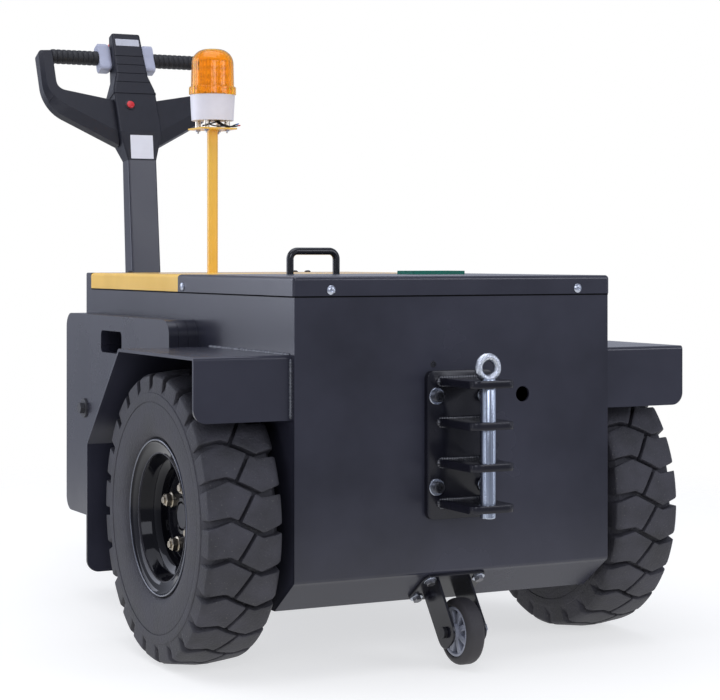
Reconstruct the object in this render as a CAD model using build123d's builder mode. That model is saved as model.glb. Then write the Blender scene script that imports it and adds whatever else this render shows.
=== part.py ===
from build123d import *
from math import atan2, cos, degrees, radians, sin, sqrt
import os

# Electric tow tractor walked by a tiller: a steel box on two drive wheels and one steered wheel.
# Millimetres, +Z up from the floor, +Y from the tow hitch to the tiller, origin under the middle.

os.makedirs("parts", exist_ok=True)

# Overall reach of the tow hitch, counted from the tow face of the box
hitch_reach = 115.0

# Tiller head, its places counted from the tow face and along its own lean
head_lean = 23.5
head_from_tow = 1410.0
head_z = 929.0
head_width = 99.0
head_depth = 60.0
box_height = 97.0
cap_height = 250.0
cap_top_width = 68.0
cap_top_depth = 24.0
belly_depth = 41.0
head_turn = radians(head_lean)

# The origin lies half way between the hitch and the belly button
tiller_reach = head_from_tow + cap_height * sin(head_turn) + (cap_top_depth + belly_depth) * cos(head_turn)
tow_y = -(tiller_reach - hitch_reach) / 2

# Box of steel plate
plate = 5.0
body_width = 572.0
body_length = 960.0
floor_z = 99.0
bend_z = 152.0
bevel_run = 72.0
wall_top_z = 590.0
top_z = 620.0
end_flange = 33.0
edge_round = 6.0
bend_round = 6.0
half_width = body_width / 2
end_y = tow_y + body_length
bevel_y = tow_y + bevel_run
bevel_angle = atan2(bend_z - floor_z, bevel_run)

# Covers on top of the box
cover_wall = 3.0
lid_length = 470.0
lid_overhang = 2.5
cover_seam = 0.5
handle_rod_r = 6.5
handle_span = 91.0
handle_height = 47.0
handle_bend = 14.0
handle_x = -40.0
handle_inset = 25.0
pad_width = 104.0
pad_depth = 66.0
pad_thick = 6.0
pad_x = 130.0
pad_from_tow = 320.0

# Hole for the trailer lead in the tow face
cable_hole_r = 12.5
cable_hole_x = 121.0
cable_hole_z = 429.0

# Drive wheels and axle, set out from the sides of the box
tyre_r = 235.0
tyre_width = 126.5
wheel_gap = 16.75
track_half = half_width + wheel_gap + tyre_width / 2
axle_from_tow = 226.0
axle_y = tow_y + axle_from_tow
axle_z = tyre_r
rim_flange_r = 125.0
rim_half = 53.0
rim_seat_r = 101.0
rim_well_drop = 16.0
rim_well_half = 22.0
rim_wall = 4.0
rim_lip = 1.5
rim_lip_r = 120.0
disc_inset = 35.0
disc_thick = 6.0
tyre_fit = 0.4
hub_r = 34.0
hub_flange_r = 62.0
hub_flange_thick = 10.0
hub_nose_r = 30.0
hub_nose_length = 2.0
hub_nose_wall = 7.0
spindle_r = 20.0
running_gap = 0.3
axle_tube_r = 32.0
axle_tube_out = 11.0
axle_tube_half = half_width + axle_tube_out
gear_case_r = 95.0
gear_case_half = 70.0
motor_r = 75.0
motor_gap = 41.0
motor_length = half_width - plate - gear_case_half - motor_gap
saddle_inset = 86.0
saddle_x = half_width - saddle_inset
saddle_width = 40.0
saddle_depth = 70.0

# Block tread: cross grooves run in a wave, and a slanted cut parts each row of blocks in the middle
lug_count = 24
lug_depth = 13.5
lug_reach = 34.0
lug_out = 62.0
lug_fall = 6.7
groove_peak_x = 26.5
groove_peak = 13.5
groove_half = 3.8
groove_out = 5.2
groove_out_half = 7.5
cut_half = 2.4
cut_slant = 29.0
sidewall_low_r = 146.0
sidewall_top_r = 198.0
crown_seat_r = 188.0
shoulder_drop = 18.0
shoulder_in = 3.25
crown_drop = 4.5
crown_in = 13.25

# Fenders, folded from one strip each
fender_width = 160.5
fender_tow = 12.0
fender_top_z = 500.0
fender_lip_z = 400.0
fender_knee = 336.0
fender_back = 494.0
fender_back_z = 333.0
fender_foot_z = 112.0
fender_corner_r = 21.0

# Ballast plates on the sides
ballast_count = 3
ballast_plate = 17.0
ballast_gap = 0.5
ballast_start = 386.0
ballast_end_gap = 39.0
ballast_end = body_length - ballast_end_gap
ballast_low_z = 167.0
ballast_top_z = 543.5
ballast_corner_r = 27.0
hand_slot_start = 616.0
hand_slot_end = 725.0
hand_slot_low_z = 476.0
hand_slot_top_z = 516.0
hand_slot_corner_r = 9.0
ballast_bolt_r = 6.0
ballast_bolt_end = 105.0
ballast_bolt_z = 367.0
washer_r = 18.0
washer_thick = 3.0
bolt_head_across = 19.0
bolt_head_height = 8.0
hole_gap = 0.5
arch_gap = 20.0
fender_notch_gap = 2.0

# Tow hitch with four jaw plates and a drop pin
hitch_plate = 10.0
hitch_width = 120.0
hitch_low_z = 236.5
hitch_top_z = 471.0
hitch_corner_r = 14.0
jaw_count = 4
jaw_thick = 12.0
jaw_width = 80.0
jaw_low_z = 261.6
jaw_pitch = 64.0
jaw_corner_r = 10.0
pin_r = 12.5
pin_reach = 94.0
pin_low_z = 246.0
pin_collar_r = 17.0
pin_collar_height = 6.0
eye_r = 16.5
eye_wire_r = 5.0
eye_sink = 1.0

# Anti-tip roller under the bevel
roller_r = 52.5
roller_width = 43.0
roller_rim_r = 38.0
roller_drop = 83.0
roller_plate_width = 112.0
roller_plate_depth = 80.0
roller_plate_thick = 5.0
roller_leg_thick = 4.0
roller_leg_gap = 5.0
roller_leg_top = 60.0
roller_leg_end_r = 14.0
roller_axle_r = 5.0
roller_hub_r = 13.0
roller_web = 8.0
roller_rim_wall = 6.0
roller_spokes = 8
roller_spoke_width = 5.0
roller_spoke_sink = 1.0
roller_spoke_inset = 7.0
roller_edge_r = 4.0
roller_head_r = 9.0
roller_head = 6.0

# Beacon on its pole
pole_r = 10.65
pole_x = -41.5
pole_inset = 57.0
pole_from_tow = body_length - pole_inset
pole_top_z = 903.0
beacon_plate_size = 77.0
beacon_plate_thick = 3.0
beacon_foot_gap = 15.0
beacon_foot_r = 5.0
beacon_foot_circle = 31.0
beacon_feet = 4
beacon_foot_turn = 45.0
beacon_base_low_r = 41.75
beacon_base_top_r = 44.5
beacon_base_height = 51.0
beacon_ring_r = 46.5
beacon_ring_height = 16.0
beacon_dome_r = 41.5
beacon_dome_height = 75.0
beacon_dome_round = 22.0
beacon_lens_wall = 2.5
beacon_lamp_r = 14.0
beacon_lamp_height = 60.0

# Battery block inside the box
battery_side_gap = 71.0
battery_width = body_width - 2 * (plate + battery_side_gap)
battery_from_tow = 400.0
battery_end_gap = 80.0
battery_length = body_length - battery_from_tow - battery_end_gap
battery_height = 380.0

# Nose beam and steered wheel at the tiller end
steer_from_tow = 1290.0
nose_z = 300.0
nose_thick = 45.0
nose_half = 105.0
nose_end_r = 92.0
gusset_half = 75.0
gusset_thick = 10.0
gusset_run = 150.0
gusset_drop = 120.0
steer_bore_gap = 0.3
steer_spindle_r = 40.0
thrust_gap = 0.5
crown_r = 72.0
crown_thick = 18.0
fork_leg_thick = 12.0
fork_leg_width = 60.0
fork_side_gap = 6.0
fork_end_r = 30.0
steer_tyre_r = 125.0
steer_tyre_width = 80.0
steer_rim_r = 95.0
steer_tyre_round = 8.0
steer_axle_r = 12.0
steer_hub_wall = 10.0
steer_web_half = 12.0
steer_y = tow_y + steer_from_tow

# Tiller: clevis, column and head
pivot_from_tow = 1381.0
pivot_z = 400.0
pivot_pin_r = 10.0
pivot_boss_r = 25.0
pivot_boss_width = 60.0
ear_gap = 1.0
ear_thick = 10.0
ear_r = 26.0
turntable_r = 70.0
turntable_thick = 14.0
column_lean = 5.0
column_neck = 45.0
column_neck_depth = 40.0
column_top = 466.0
column_width = 67.0
column_low_depth = 54.0
column_top_depth = 39.0
column_round = 4.0
pivot_pin_head = 4.0
pivot_pin_head_r = 15.0
cap_lip = 1.5
cap_lip_height = 4.0
cap_flare = 11.0
cap_waist = 46.0
cap_waist_width = 77.0
cap_waist_depth = 48.0
cap_round = 6.0
rib_count = 4
rib_start = 126.0
rib_pitch = 22.0
rib_width = 2.0
rib_sink = 1.2
arm_depth = 30.0
arm_setback = 14.0
arm_outer = 207.0
arm_bar = 32.0
arm_root_low = -19.5
arm_root_high = 87.0
arm_knee_in = 18.0
arm_knee = 60.0
arm_bar_low = 100.0
arm_window_low = 111.0
arm_top = 207.0
arm_outer_bend = 42.0
arm_inner_bend = 22.0
arm_top_bend = 9.0
grip_r = 16.5
grip_height = 198.0
knob_in = 36.0
knob_width = 35.0
knob_length = 76.0
knob_depth = 34.0
knob_shaft_r = 9.0
knob_shaft = 8.0
belly_width = 58.0
belly_height = 44.0
pivot_y = tow_y + pivot_from_tow

sides = (("left", -1), ("right", 1))


def save(builder, name):
    """Label a finished piece and write it to its own file."""
    builder.part.label = name
    export_step(builder.part, f"parts/{name}.step")


def across(y, z):
    """Upright plane through an axle that runs along X: sketch x is X, sketch y is the radius."""
    return Plane(origin=(0, y, z), x_dir=(1, 0, 0), z_dir=(0, -1, 0))


def side_plane(x):
    """Plane that looks along +X, with sketch x along Y and sketch y along Z."""
    return Plane.YZ.offset(x)


# Tow end plate, folded under along the bevel
with BuildPart() as sharp_fold:
    with BuildSketch(Plane.YZ):
        with BuildLine():
            tow_line = Polyline((tow_y, wall_top_z), (tow_y, bend_z), (bevel_y, floor_z))
            offset(tow_line, amount=plate, side=Side.LEFT, kind=Kind.INTERSECTION)
        make_face()
    extrude(amount=half_width, both=True)
with BuildPart() as tow_plate:
    add(sharp_fold.part)
    tow_bend = tow_plate.edges().filter_by(Axis.X).sort_by_distance((0, tow_y, bend_z))[0]
    fillet(tow_bend, bend_round)
    with Locations(Plane(origin=(cable_hole_x, tow_y, cable_hole_z), z_dir=(0, -1, 0))):
        Hole(cable_hole_r, depth=2 * plate)
save(tow_plate, "tow_end_plate")

# Side plates, cut to the bevel, with a hole for the axle
for side, sx in sides:
    with BuildPart() as side_plate:
        with BuildSketch(side_plane(sx * half_width)):
            with BuildLine():
                Polyline(
                    (tow_y, wall_top_z),
                    (tow_y, bend_z),
                    (bevel_y, floor_z),
                    (end_y - end_flange, floor_z),
                    (end_y - end_flange, wall_top_z),
                    close=True,
                )
            make_face()
            with Locations((axle_y, axle_z)):
                Circle(axle_tube_r + hole_gap, mode=Mode.SUBTRACT)
        extrude(amount=-sx * plate)
        add(sharp_fold.part, mode=Mode.SUBTRACT)
    save(side_plate, f"side_plate_{side}")

# Floor plate between the side plates
with BuildPart() as floor_plate:
    with BuildSketch(Plane.XY.offset(floor_z)):
        with Locations((0, (bevel_y + end_y - plate) / 2)):
            Rectangle(body_width - 2 * plate, end_y - plate - bevel_y)
    extrude(amount=plate)
    add(sharp_fold.part, mode=Mode.SUBTRACT)
save(floor_plate, "floor_plate")

# Tiller end wall: a tray with flanges turned towards the box
with BuildPart() as end_wall:
    with BuildSketch(Plane.XY.offset(floor_z)):
        with Locations((0, end_y - end_flange / 2)):
            Rectangle(body_width, end_flange)
    extrude(amount=top_z - floor_z)
    fillet(end_wall.edges().filter_by(Axis.Z).group_by(Axis.Y)[-1], edge_round)
    fillet(end_wall.faces().sort_by(Axis.Z)[-1].edges().group_by(Axis.Y)[1:], edge_round / 2)
    with BuildSketch(Plane.XY.offset(floor_z)):
        with Locations((0, end_y - plate - end_flange / 2)):
            Rectangle(body_width - 2 * plate, end_flange)
    extrude(amount=top_z - floor_z - plate, mode=Mode.SUBTRACT)
save(end_wall, "tiller_end_wall")


def tray(width, y_low, y_high, round_ends):
    """Shallow cover with a skirt, rounded on top and open below."""
    with BuildPart() as cover:
        with BuildSketch(Plane.XY.offset(wall_top_z)):
            with Locations((0, (y_low + y_high) / 2)):
                Rectangle(width, y_high - y_low)
        extrude(amount=top_z - wall_top_z)
        uprights = cover.edges().filter_by(Axis.Z).group_by(Axis.Y)
        rounded = [edge for end in round_ends for edge in uprights[end]]
        rounded += cover.faces().sort_by(Axis.Z)[-1].edges()
        fillet(rounded, edge_round)
        with BuildSketch(Plane.XY.offset(wall_top_z)):
            with Locations((0, (y_low + y_high) / 2)):
                Rectangle(width - 2 * cover_wall, y_high - y_low - 2 * cover_wall)
        extrude(amount=top_z - wall_top_z - cover_wall, mode=Mode.SUBTRACT)
    return cover


# Black battery lid and fixed yellow cover
lid = tray(body_width + 2 * lid_overhang, tow_y - lid_overhang, tow_y + lid_length, (0,))
save(lid, "lid")
cover = tray(body_width, tow_y + lid_length + cover_seam, end_y - end_flange, ())
save(cover, "yellow_cover")

# Bent rod handle on the lid
handle_y = tow_y + lid_length - handle_inset
with BuildPart() as lid_handle:
    with BuildLine():
        handle_path = FilletPolyline(
            (handle_x - handle_span / 2, handle_y, top_z),
            (handle_x - handle_span / 2, handle_y, top_z + handle_height - handle_rod_r),
            (handle_x + handle_span / 2, handle_y, top_z + handle_height - handle_rod_r),
            (handle_x + handle_span / 2, handle_y, top_z),
            radius=handle_bend,
        )
    with BuildSketch(Plane(origin=handle_path @ 0, z_dir=handle_path % 0)):
        Circle(handle_rod_r)
    sweep()
save(lid_handle, "lid_handle")

# Green pad on the lid
with BuildPart() as pad:
    with BuildSketch(Plane.XY.offset(top_z)):
        with Locations((pad_x, tow_y + pad_from_tow)):
            RectangleRounded(pad_width, pad_depth, pad_thick)
    extrude(amount=pad_thick)
save(pad, "lid_pad")

# Fenders: lip, top, slope and back folded from one strip, notched for the ballast
for side, sx in sides:
    with BuildPart() as fender:
        with BuildSketch(side_plane(sx * half_width)):
            with BuildLine():
                fold = Polyline(
                    (tow_y + fender_tow, fender_lip_z),
                    (tow_y + fender_tow, fender_top_z),
                    (tow_y + fender_knee, fender_top_z),
                    (tow_y + fender_back, fender_back_z),
                    (tow_y + fender_back, fender_foot_z),
                )
                offset(fold, amount=plate, side=Side.RIGHT, kind=Kind.INTERSECTION)
            make_face()
        extrude(amount=sx * fender_width)
        bends = fender.edges().filter_by(Axis.X)
        bend_places = (
            (fender_tow, fender_top_z),
            (fender_knee, fender_top_z),
            (fender_back, fender_back_z),
        )
        outer_bends = [bends.sort_by_distance((sx * half_width, tow_y + y, z))[0] for y, z in bend_places]
        fillet(outer_bends, bend_round)
        corners = fender.edges().filter_by(Axis.Y).group_by(SortBy.LENGTH)[0]
        corners = corners.filter_by_position(Axis.Z, fender_foot_z - 1, fender_lip_z + 1)
        outer = corners.sort_by(Axis.X)[-2:] if sx > 0 else corners.sort_by(Axis.X)[:2]
        fillet(outer, fender_corner_r)
        ballast_out = ballast_count * (ballast_plate + ballast_gap) + fender_notch_gap
        with BuildSketch(side_plane(sx * half_width)):
            with Locations((tow_y + ballast_start + fender_back / 2 - plate, fender_back_z)):
                Rectangle(fender_back, 2 * fender_back_z)
        extrude(amount=sx * ballast_out, mode=Mode.SUBTRACT)
    save(fender, f"fender_{side}")

# Ballast plates with a hand slot through the stack
bolt_places = (
    (tow_y + ballast_start + ballast_bolt_end, ballast_bolt_z),
    (tow_y + ballast_end - ballast_bolt_end, ballast_bolt_z),
)
for side, sx in sides:
    with BuildPart() as ballast:
        for index in range(ballast_count):
            with BuildSketch(side_plane(sx * (half_width + index * (ballast_plate + ballast_gap)))):
                middle_z = (ballast_low_z + ballast_top_z) / 2
                with Locations((tow_y + (ballast_start + ballast_end) / 2, middle_z)):
                    RectangleRounded(
                        ballast_end - ballast_start, ballast_top_z - ballast_low_z, ballast_corner_r
                    )
                slot_z = (hand_slot_low_z + hand_slot_top_z) / 2
                with Locations((tow_y + (hand_slot_start + hand_slot_end) / 2, slot_z)):
                    RectangleRounded(
                        hand_slot_end - hand_slot_start,
                        hand_slot_top_z - hand_slot_low_z,
                        hand_slot_corner_r,
                        mode=Mode.SUBTRACT,
                    )
                with Locations(*bolt_places):
                    Circle(ballast_bolt_r + hole_gap, mode=Mode.SUBTRACT)
                with Locations((axle_y, axle_z)):
                    Circle(tyre_r + arch_gap, mode=Mode.SUBTRACT)
            extrude(amount=sx * ballast_plate)
    save(ballast, f"ballast_plates_{side}")

    # Two bolts with wide washers hold the stack
    stack = ballast_count * ballast_plate + (ballast_count - 1) * ballast_gap
    with BuildPart() as bolts:
        with BuildSketch(side_plane(sx * half_width)):
            with Locations(*bolt_places):
                Circle(ballast_bolt_r)
        extrude(amount=sx * stack)
        with BuildSketch(side_plane(sx * (half_width + stack))):
            with Locations(*bolt_places):
                Circle(washer_r)
        extrude(amount=sx * washer_thick)
        with BuildSketch(side_plane(sx * (half_width + stack + washer_thick))):
            with Locations(*bolt_places):
                RegularPolygon(bolt_head_across / 2, 6, major_radius=False)
        extrude(amount=sx * bolt_head_height)
    save(bolts, f"ballast_bolts_{side}")

# Battery block on the floor
with BuildPart() as battery:
    with BuildSketch(Plane.XY.offset(floor_z + plate)):
        with Locations((0, tow_y + battery_from_tow + battery_length / 2)):
            Rectangle(battery_width, battery_length)
    extrude(amount=battery_height)
save(battery, "battery")

# Drive axle: tube, gear case, motor, saddles on the floor and a spindle at each end
disc_x = track_half + rim_half - disc_inset
spindle_end = disc_x + hub_nose_length - hub_nose_wall
axle_line = Axis((0, axle_y, axle_z), (1, 0, 0))
with BuildPart() as drive_axle:
    with BuildSketch(across(axle_y, axle_z)):
        with BuildLine():
            Polyline(
                (-spindle_end, 0),
                (-spindle_end, spindle_r),
                (-axle_tube_half, spindle_r),
                (-axle_tube_half, axle_tube_r),
                (-gear_case_half - motor_length, axle_tube_r),
                (-gear_case_half - motor_length, motor_r),
                (-gear_case_half, motor_r),
                (-gear_case_half, gear_case_r),
                (gear_case_half, gear_case_r),
                (gear_case_half, axle_tube_r),
                (axle_tube_half, axle_tube_r),
                (axle_tube_half, spindle_r),
                (spindle_end, spindle_r),
                (spindle_end, 0),
                close=True,
            )
        make_face()
    revolve(axis=axle_line)
    with BuildSketch(Plane.XY.offset(floor_z + plate)):
        with Locations((-saddle_x, axle_y), (saddle_x, axle_y)):
            Rectangle(saddle_width, saddle_depth)
    extrude(amount=axle_z - floor_z - plate)
save(drive_axle, "drive_axle")

# Lugged tyre, made once about the axle and then placed at both sides
bead_half = rim_half - rim_wall - tyre_fit
half_tyre = tyre_width / 2
carcass_r = tyre_r - lug_depth
pitch = radians(360 / lug_count) * tyre_r
wave_slope = -groove_peak / groove_peak_x
cut_low_x = cut_slant * (groove_half / pitch - 0.5) - cut_half
cut_top_x = cut_slant * (0.5 - groove_half / pitch) - cut_half
# One block, its points given across the tyre and along its way, half a pitch each side of the middle
lug_points = (
    (-lug_out, groove_out + groove_out_half - pitch / 2),
    (-groove_peak_x, groove_peak + groove_half - pitch / 2),
    (cut_low_x, wave_slope * cut_low_x + groove_half - pitch / 2),
    (cut_top_x, wave_slope * cut_top_x - groove_half + pitch / 2),
    (-groove_peak_x, groove_peak - groove_half + pitch / 2),
    (-lug_out, groove_out - groove_out_half + pitch / 2),
)
# The block's tip lies on the tyre's radius, and the way round starts with a tip under the axle
tip_x, tip_along = lug_points[3]
fall = radians(lug_fall)
lug_face_r = sqrt(tyre_r**2 - tip_along**2) - tip_x * sin(fall)
tip_turn = degrees(atan2(tip_along, lug_face_r))
with BuildPart() as lugs:
    for sx in (-1, 1):
        face = Plane(
            origin=(0, axle_y, axle_z - lug_face_r),
            x_dir=(-sx * cos(fall), 0, -sin(fall)),
            z_dir=(sx * sin(fall), 0, -cos(fall)),
        )
        with BuildSketch(face):
            with BuildLine():
                Polyline(*lug_points, close=True)
            make_face()
        extrude(amount=lug_reach, dir=(0, 0, 1))
# The crown has one flat for each pitch, so that the blocks stand on plain faces
crown_line = (
    (half_tyre, sidewall_top_r),
    (half_tyre - shoulder_in, carcass_r - shoulder_drop),
    (half_tyre - crown_in, carcass_r - crown_drop),
    (0, carcass_r),
)
with BuildPart() as crown:
    for x, r in (*crown_line, *((-x, r) for x, r in crown_line[-2::-1])):
        with BuildSketch(side_plane(x)):
            with Locations((axle_y, axle_z)):
                RegularPolygon(r, lug_count, rotation=tip_turn + 180 / lug_count)
    loft(ruled=True)
    with BuildSketch(side_plane(-half_tyre)):
        with Locations((axle_y, axle_z)):
            Circle(crown_seat_r)
    extrude(amount=tyre_width, mode=Mode.SUBTRACT)
with BuildPart() as lugged_tyre:
    with BuildSketch(across(axle_y, axle_z)):
        with BuildLine():
            side_line = (
                (bead_half, rim_seat_r + tyre_fit),
                (bead_half, rim_flange_r + tyre_fit),
                (half_tyre, sidewall_low_r),
                (half_tyre, crown_seat_r),
            )
            Polyline(*side_line, *((-x, r) for x, r in side_line[::-1]), close=True)
        make_face()
    revolve(axis=axle_line)
    turns = [index * 360 / lug_count + tip_turn for index in range(lug_count)]
    add([crown.part] + [lug.rotate(axle_line, turn) for turn in turns for lug in lugs.solids()])

# Drive wheels: hub, rim and tyre on each spindle
for side, sx in sides:
    centre = sx * track_half
    disc_out = sx * disc_x
    disc_in = sx * (disc_x - disc_thick)
    flange_in = sx * (disc_x - disc_thick - hub_flange_thick)
    nose_out = sx * (disc_x + hub_nose_length)
    bore_r = spindle_r + running_gap
    with BuildPart() as hub:
        with BuildSketch(across(axle_y, axle_z)):
            with BuildLine():
                Polyline(
                    (sx * (axle_tube_half + running_gap), bore_r),
                    (sx * (axle_tube_half + running_gap), hub_r),
                    (flange_in, hub_r),
                    (flange_in, hub_flange_r),
                    (disc_in, hub_flange_r),
                    (disc_in, hub_nose_r),
                    (nose_out, hub_nose_r),
                    (nose_out, 0),
                    (sx * (spindle_end + running_gap), 0),
                    (sx * (spindle_end + running_gap), bore_r),
                    close=True,
                )
            make_face()
        revolve(axis=axle_line)
    save(hub, f"hub_{side}")

    well_r = rim_seat_r - rim_well_drop
    inner_half = (
        (rim_half, rim_flange_r),
        (rim_half, rim_lip_r),
        (rim_half - rim_lip, rim_lip_r - rim_lip),
        (rim_half - rim_lip, rim_seat_r - rim_wall),
        (rim_well_half + rim_wall, rim_seat_r - rim_wall),
        (rim_well_half, well_r - rim_wall),
    )
    outer_half = (
        (rim_well_half, well_r),
        (rim_well_half + rim_wall, rim_seat_r),
        (rim_half - rim_wall, rim_seat_r),
        (rim_half - rim_wall, rim_flange_r),
    )
    with BuildPart() as rim:
        with BuildSketch(across(axle_y, axle_z)):
            with BuildLine():
                Polyline(
                    *((centre - x, r) for x, r in inner_half),
                    *((centre + x, r) for x, r in inner_half[::-1]),
                    *((centre + x, r) for x, r in outer_half[::-1]),
                    *((centre - x, r) for x, r in outer_half),
                    close=True,
                )
            make_face()
            with BuildLine():
                Polyline(
                    (disc_in, hub_nose_r + running_gap),
                    (disc_out, hub_nose_r + running_gap),
                    (disc_out, well_r - rim_wall),
                    (disc_in, well_r - rim_wall),
                    close=True,
                )
            make_face()
        revolve(axis=axle_line)
    save(rim, f"rim_{side}")

    with BuildPart() as tyre:
        with Locations((centre, 0, 0)):
            add(lugged_tyre.part)
    save(tyre, f"tyre_{side}")

# Tow hitch: back plate with four jaw plates
jaw_levels = [jaw_low_z + index * jaw_pitch for index in range(jaw_count)]
with BuildPart() as hitch:
    with BuildSketch(Plane(origin=(0, tow_y, 0), x_dir=(1, 0, 0), z_dir=(0, -1, 0))):
        with Locations((0, (hitch_low_z + hitch_top_z) / 2)):
            RectangleRounded(hitch_width, hitch_top_z - hitch_low_z, hitch_corner_r)
    extrude(amount=hitch_plate)
    for level in jaw_levels:
        with BuildSketch(Plane.XY.offset(level - jaw_thick / 2)):
            with Locations((0, tow_y - (hitch_plate + hitch_reach) / 2)):
                jaw = Rectangle(jaw_width, hitch_reach - hitch_plate)
            fillet(jaw.vertices().group_by(Axis.Y)[0], jaw_corner_r)
            with Locations((0, tow_y - pin_reach)):
                Circle(pin_r + hole_gap, mode=Mode.SUBTRACT)
        extrude(amount=jaw_thick)
save(hitch, "hitch_bracket")

# Drop pin with a lifting eye
pin_y = tow_y - pin_reach
collar_z = jaw_levels[-1] + jaw_thick / 2
eye_z = collar_z + pin_collar_height + eye_r + eye_wire_r - eye_sink
with BuildPart() as tow_pin:
    with BuildSketch(Plane.XY.offset(pin_low_z)):
        with Locations((0, pin_y)):
            Circle(pin_r)
    extrude(amount=collar_z - pin_low_z)
    with BuildSketch(Plane.XY.offset(collar_z)):
        with Locations((0, pin_y)):
            Circle(pin_collar_r)
    extrude(amount=pin_collar_height)
    with BuildSketch(Plane(origin=(0, pin_y, eye_z), x_dir=(1, 0, 0), z_dir=(0, 0, 1))):
        with Locations((eye_r, 0)):
            Circle(eye_wire_r)
    revolve(axis=Axis((0, pin_y, eye_z), (0, 1, 0)))
save(tow_pin, "tow_pin")

# Anti-tip roller: plate on the bevel, two legs, axle bolt, hub and tyre
bevel_down = (0, -sin(bevel_angle), -cos(bevel_angle))
bevel_along = (0, cos(bevel_angle), -sin(bevel_angle))
roller_plate_at = Vector(0, tow_y + bevel_run / 2, (bend_z + floor_z) / 2)
roller_plane = Plane(origin=roller_plate_at, x_dir=(1, 0, 0), z_dir=bevel_down)
roller_at = roller_plate_at + Vector(*bevel_down) * roller_drop
roller_line = Axis(roller_at, (1, 0, 0))
leg_in = roller_width / 2 + roller_leg_gap
leg_out = leg_in + roller_leg_thick
with BuildPart() as roller_bracket:
    with BuildSketch(roller_plane):
        RectangleRounded(roller_plate_width, roller_plate_depth, roller_leg_end_r)
    extrude(amount=roller_plate_thick)
    for sx in (-1, 1):
        leg_plane = Plane(origin=roller_plate_at, x_dir=bevel_along, z_dir=(1, 0, 0)).offset(sx * leg_in)
        leg_down = -1 if leg_plane.y_dir.Z > 0 else 1
        with BuildSketch(leg_plane):
            with Locations((0, leg_down * roller_plate_thick)):
                Rectangle(roller_leg_top, roller_leg_thick / 2)
            with Locations((0, leg_down * roller_drop)):
                Circle(roller_leg_end_r)
            make_hull()
            with Locations((0, leg_down * roller_drop)):
                Circle(roller_axle_r + hole_gap, mode=Mode.SUBTRACT)
        extrude(amount=sx * roller_leg_thick)
save(roller_bracket, "roller_bracket")

with BuildPart() as roller_axle:
    with BuildSketch(across(roller_at.Y, roller_at.Z)):
        with BuildLine():
            Polyline(
                (-leg_out - roller_head, 0),
                (-leg_out - roller_head, roller_head_r),
                (-leg_out, roller_head_r),
                (-leg_out, roller_axle_r),
                (leg_out, roller_axle_r),
                (leg_out, roller_head_r),
                (leg_out + roller_head, roller_head_r),
                (leg_out + roller_head, 0),
                close=True,
            )
        make_face()
    revolve(axis=roller_line)
save(roller_axle, "roller_axle")

with BuildPart() as roller_hub:
    bore_r = roller_axle_r + running_gap
    with BuildSketch(across(roller_at.Y, roller_at.Z)):
        with Locations((0, (bore_r + roller_hub_r) / 2)):
            Rectangle(roller_width, roller_hub_r - bore_r)
        with Locations((0, (roller_hub_r + roller_rim_r) / 2)):
            Rectangle(roller_web, roller_rim_r - roller_hub_r)
        with Locations((0, roller_rim_r - roller_rim_wall / 2)):
            Rectangle(roller_width - roller_spoke_inset, roller_rim_wall)
    revolve(axis=roller_line)
    with BuildSketch(Plane(origin=(0, roller_at.Y, roller_at.Z), x_dir=(0, 1, 0), z_dir=(1, 0, 0))):
        spoke_in = roller_hub_r - roller_spoke_sink
        spoke_length = roller_rim_r - roller_rim_wall / 2 - spoke_in
        with PolarLocations(spoke_in + spoke_length / 2, roller_spokes):
            Rectangle(spoke_length, roller_spoke_width)
    extrude(amount=roller_width / 2 - roller_spoke_inset, both=True)
save(roller_hub, "roller_hub")

with BuildPart() as roller_tyre:
    with BuildSketch(across(roller_at.Y, roller_at.Z)):
        with Locations((0, (roller_rim_r + running_gap + roller_r) / 2)):
            tread = Rectangle(roller_width, roller_r - roller_rim_r - running_gap)
        fillet(tread.vertices().group_by(Axis.Y)[-1], roller_edge_r)
    revolve(axis=roller_line)
save(roller_tyre, "roller_tyre")

# Beacon pole with its plate
pole_y = tow_y + pole_from_tow
with BuildPart() as pole:
    with BuildSketch(Plane.XY.offset(top_z)):
        with Locations((pole_x, pole_y)):
            Circle(pole_r)
    extrude(amount=pole_top_z - top_z)
    with BuildSketch(Plane.XY.offset(pole_top_z)):
        with Locations((pole_x, pole_y)):
            RectangleRounded(beacon_plate_size, beacon_plate_size, edge_round)
    extrude(amount=beacon_plate_thick)
save(pole, "beacon_pole")

base_z = pole_top_z + beacon_plate_thick + beacon_foot_gap
ring_z = base_z + beacon_base_height
pole_line = Axis((pole_x, pole_y, 0), (0, 0, 1))
pole_plane = Plane(origin=(pole_x, pole_y, 0), x_dir=(1, 0, 0), z_dir=(0, -1, 0))
with BuildPart() as beacon_base:
    with BuildSketch(pole_plane):
        with BuildLine():
            Polyline(
                (0, base_z),
                (beacon_base_low_r, base_z),
                (beacon_base_top_r, ring_z),
                (0, ring_z),
                close=True,
            )
        make_face()
    revolve(axis=pole_line)
    with BuildSketch(Plane.XY.offset(base_z)):
        with Locations((pole_x, pole_y)):
            with PolarLocations(beacon_foot_circle, beacon_feet, start_angle=beacon_foot_turn):
                Circle(beacon_foot_r)
    extrude(amount=-beacon_foot_gap)
save(beacon_base, "beacon_base")

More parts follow.
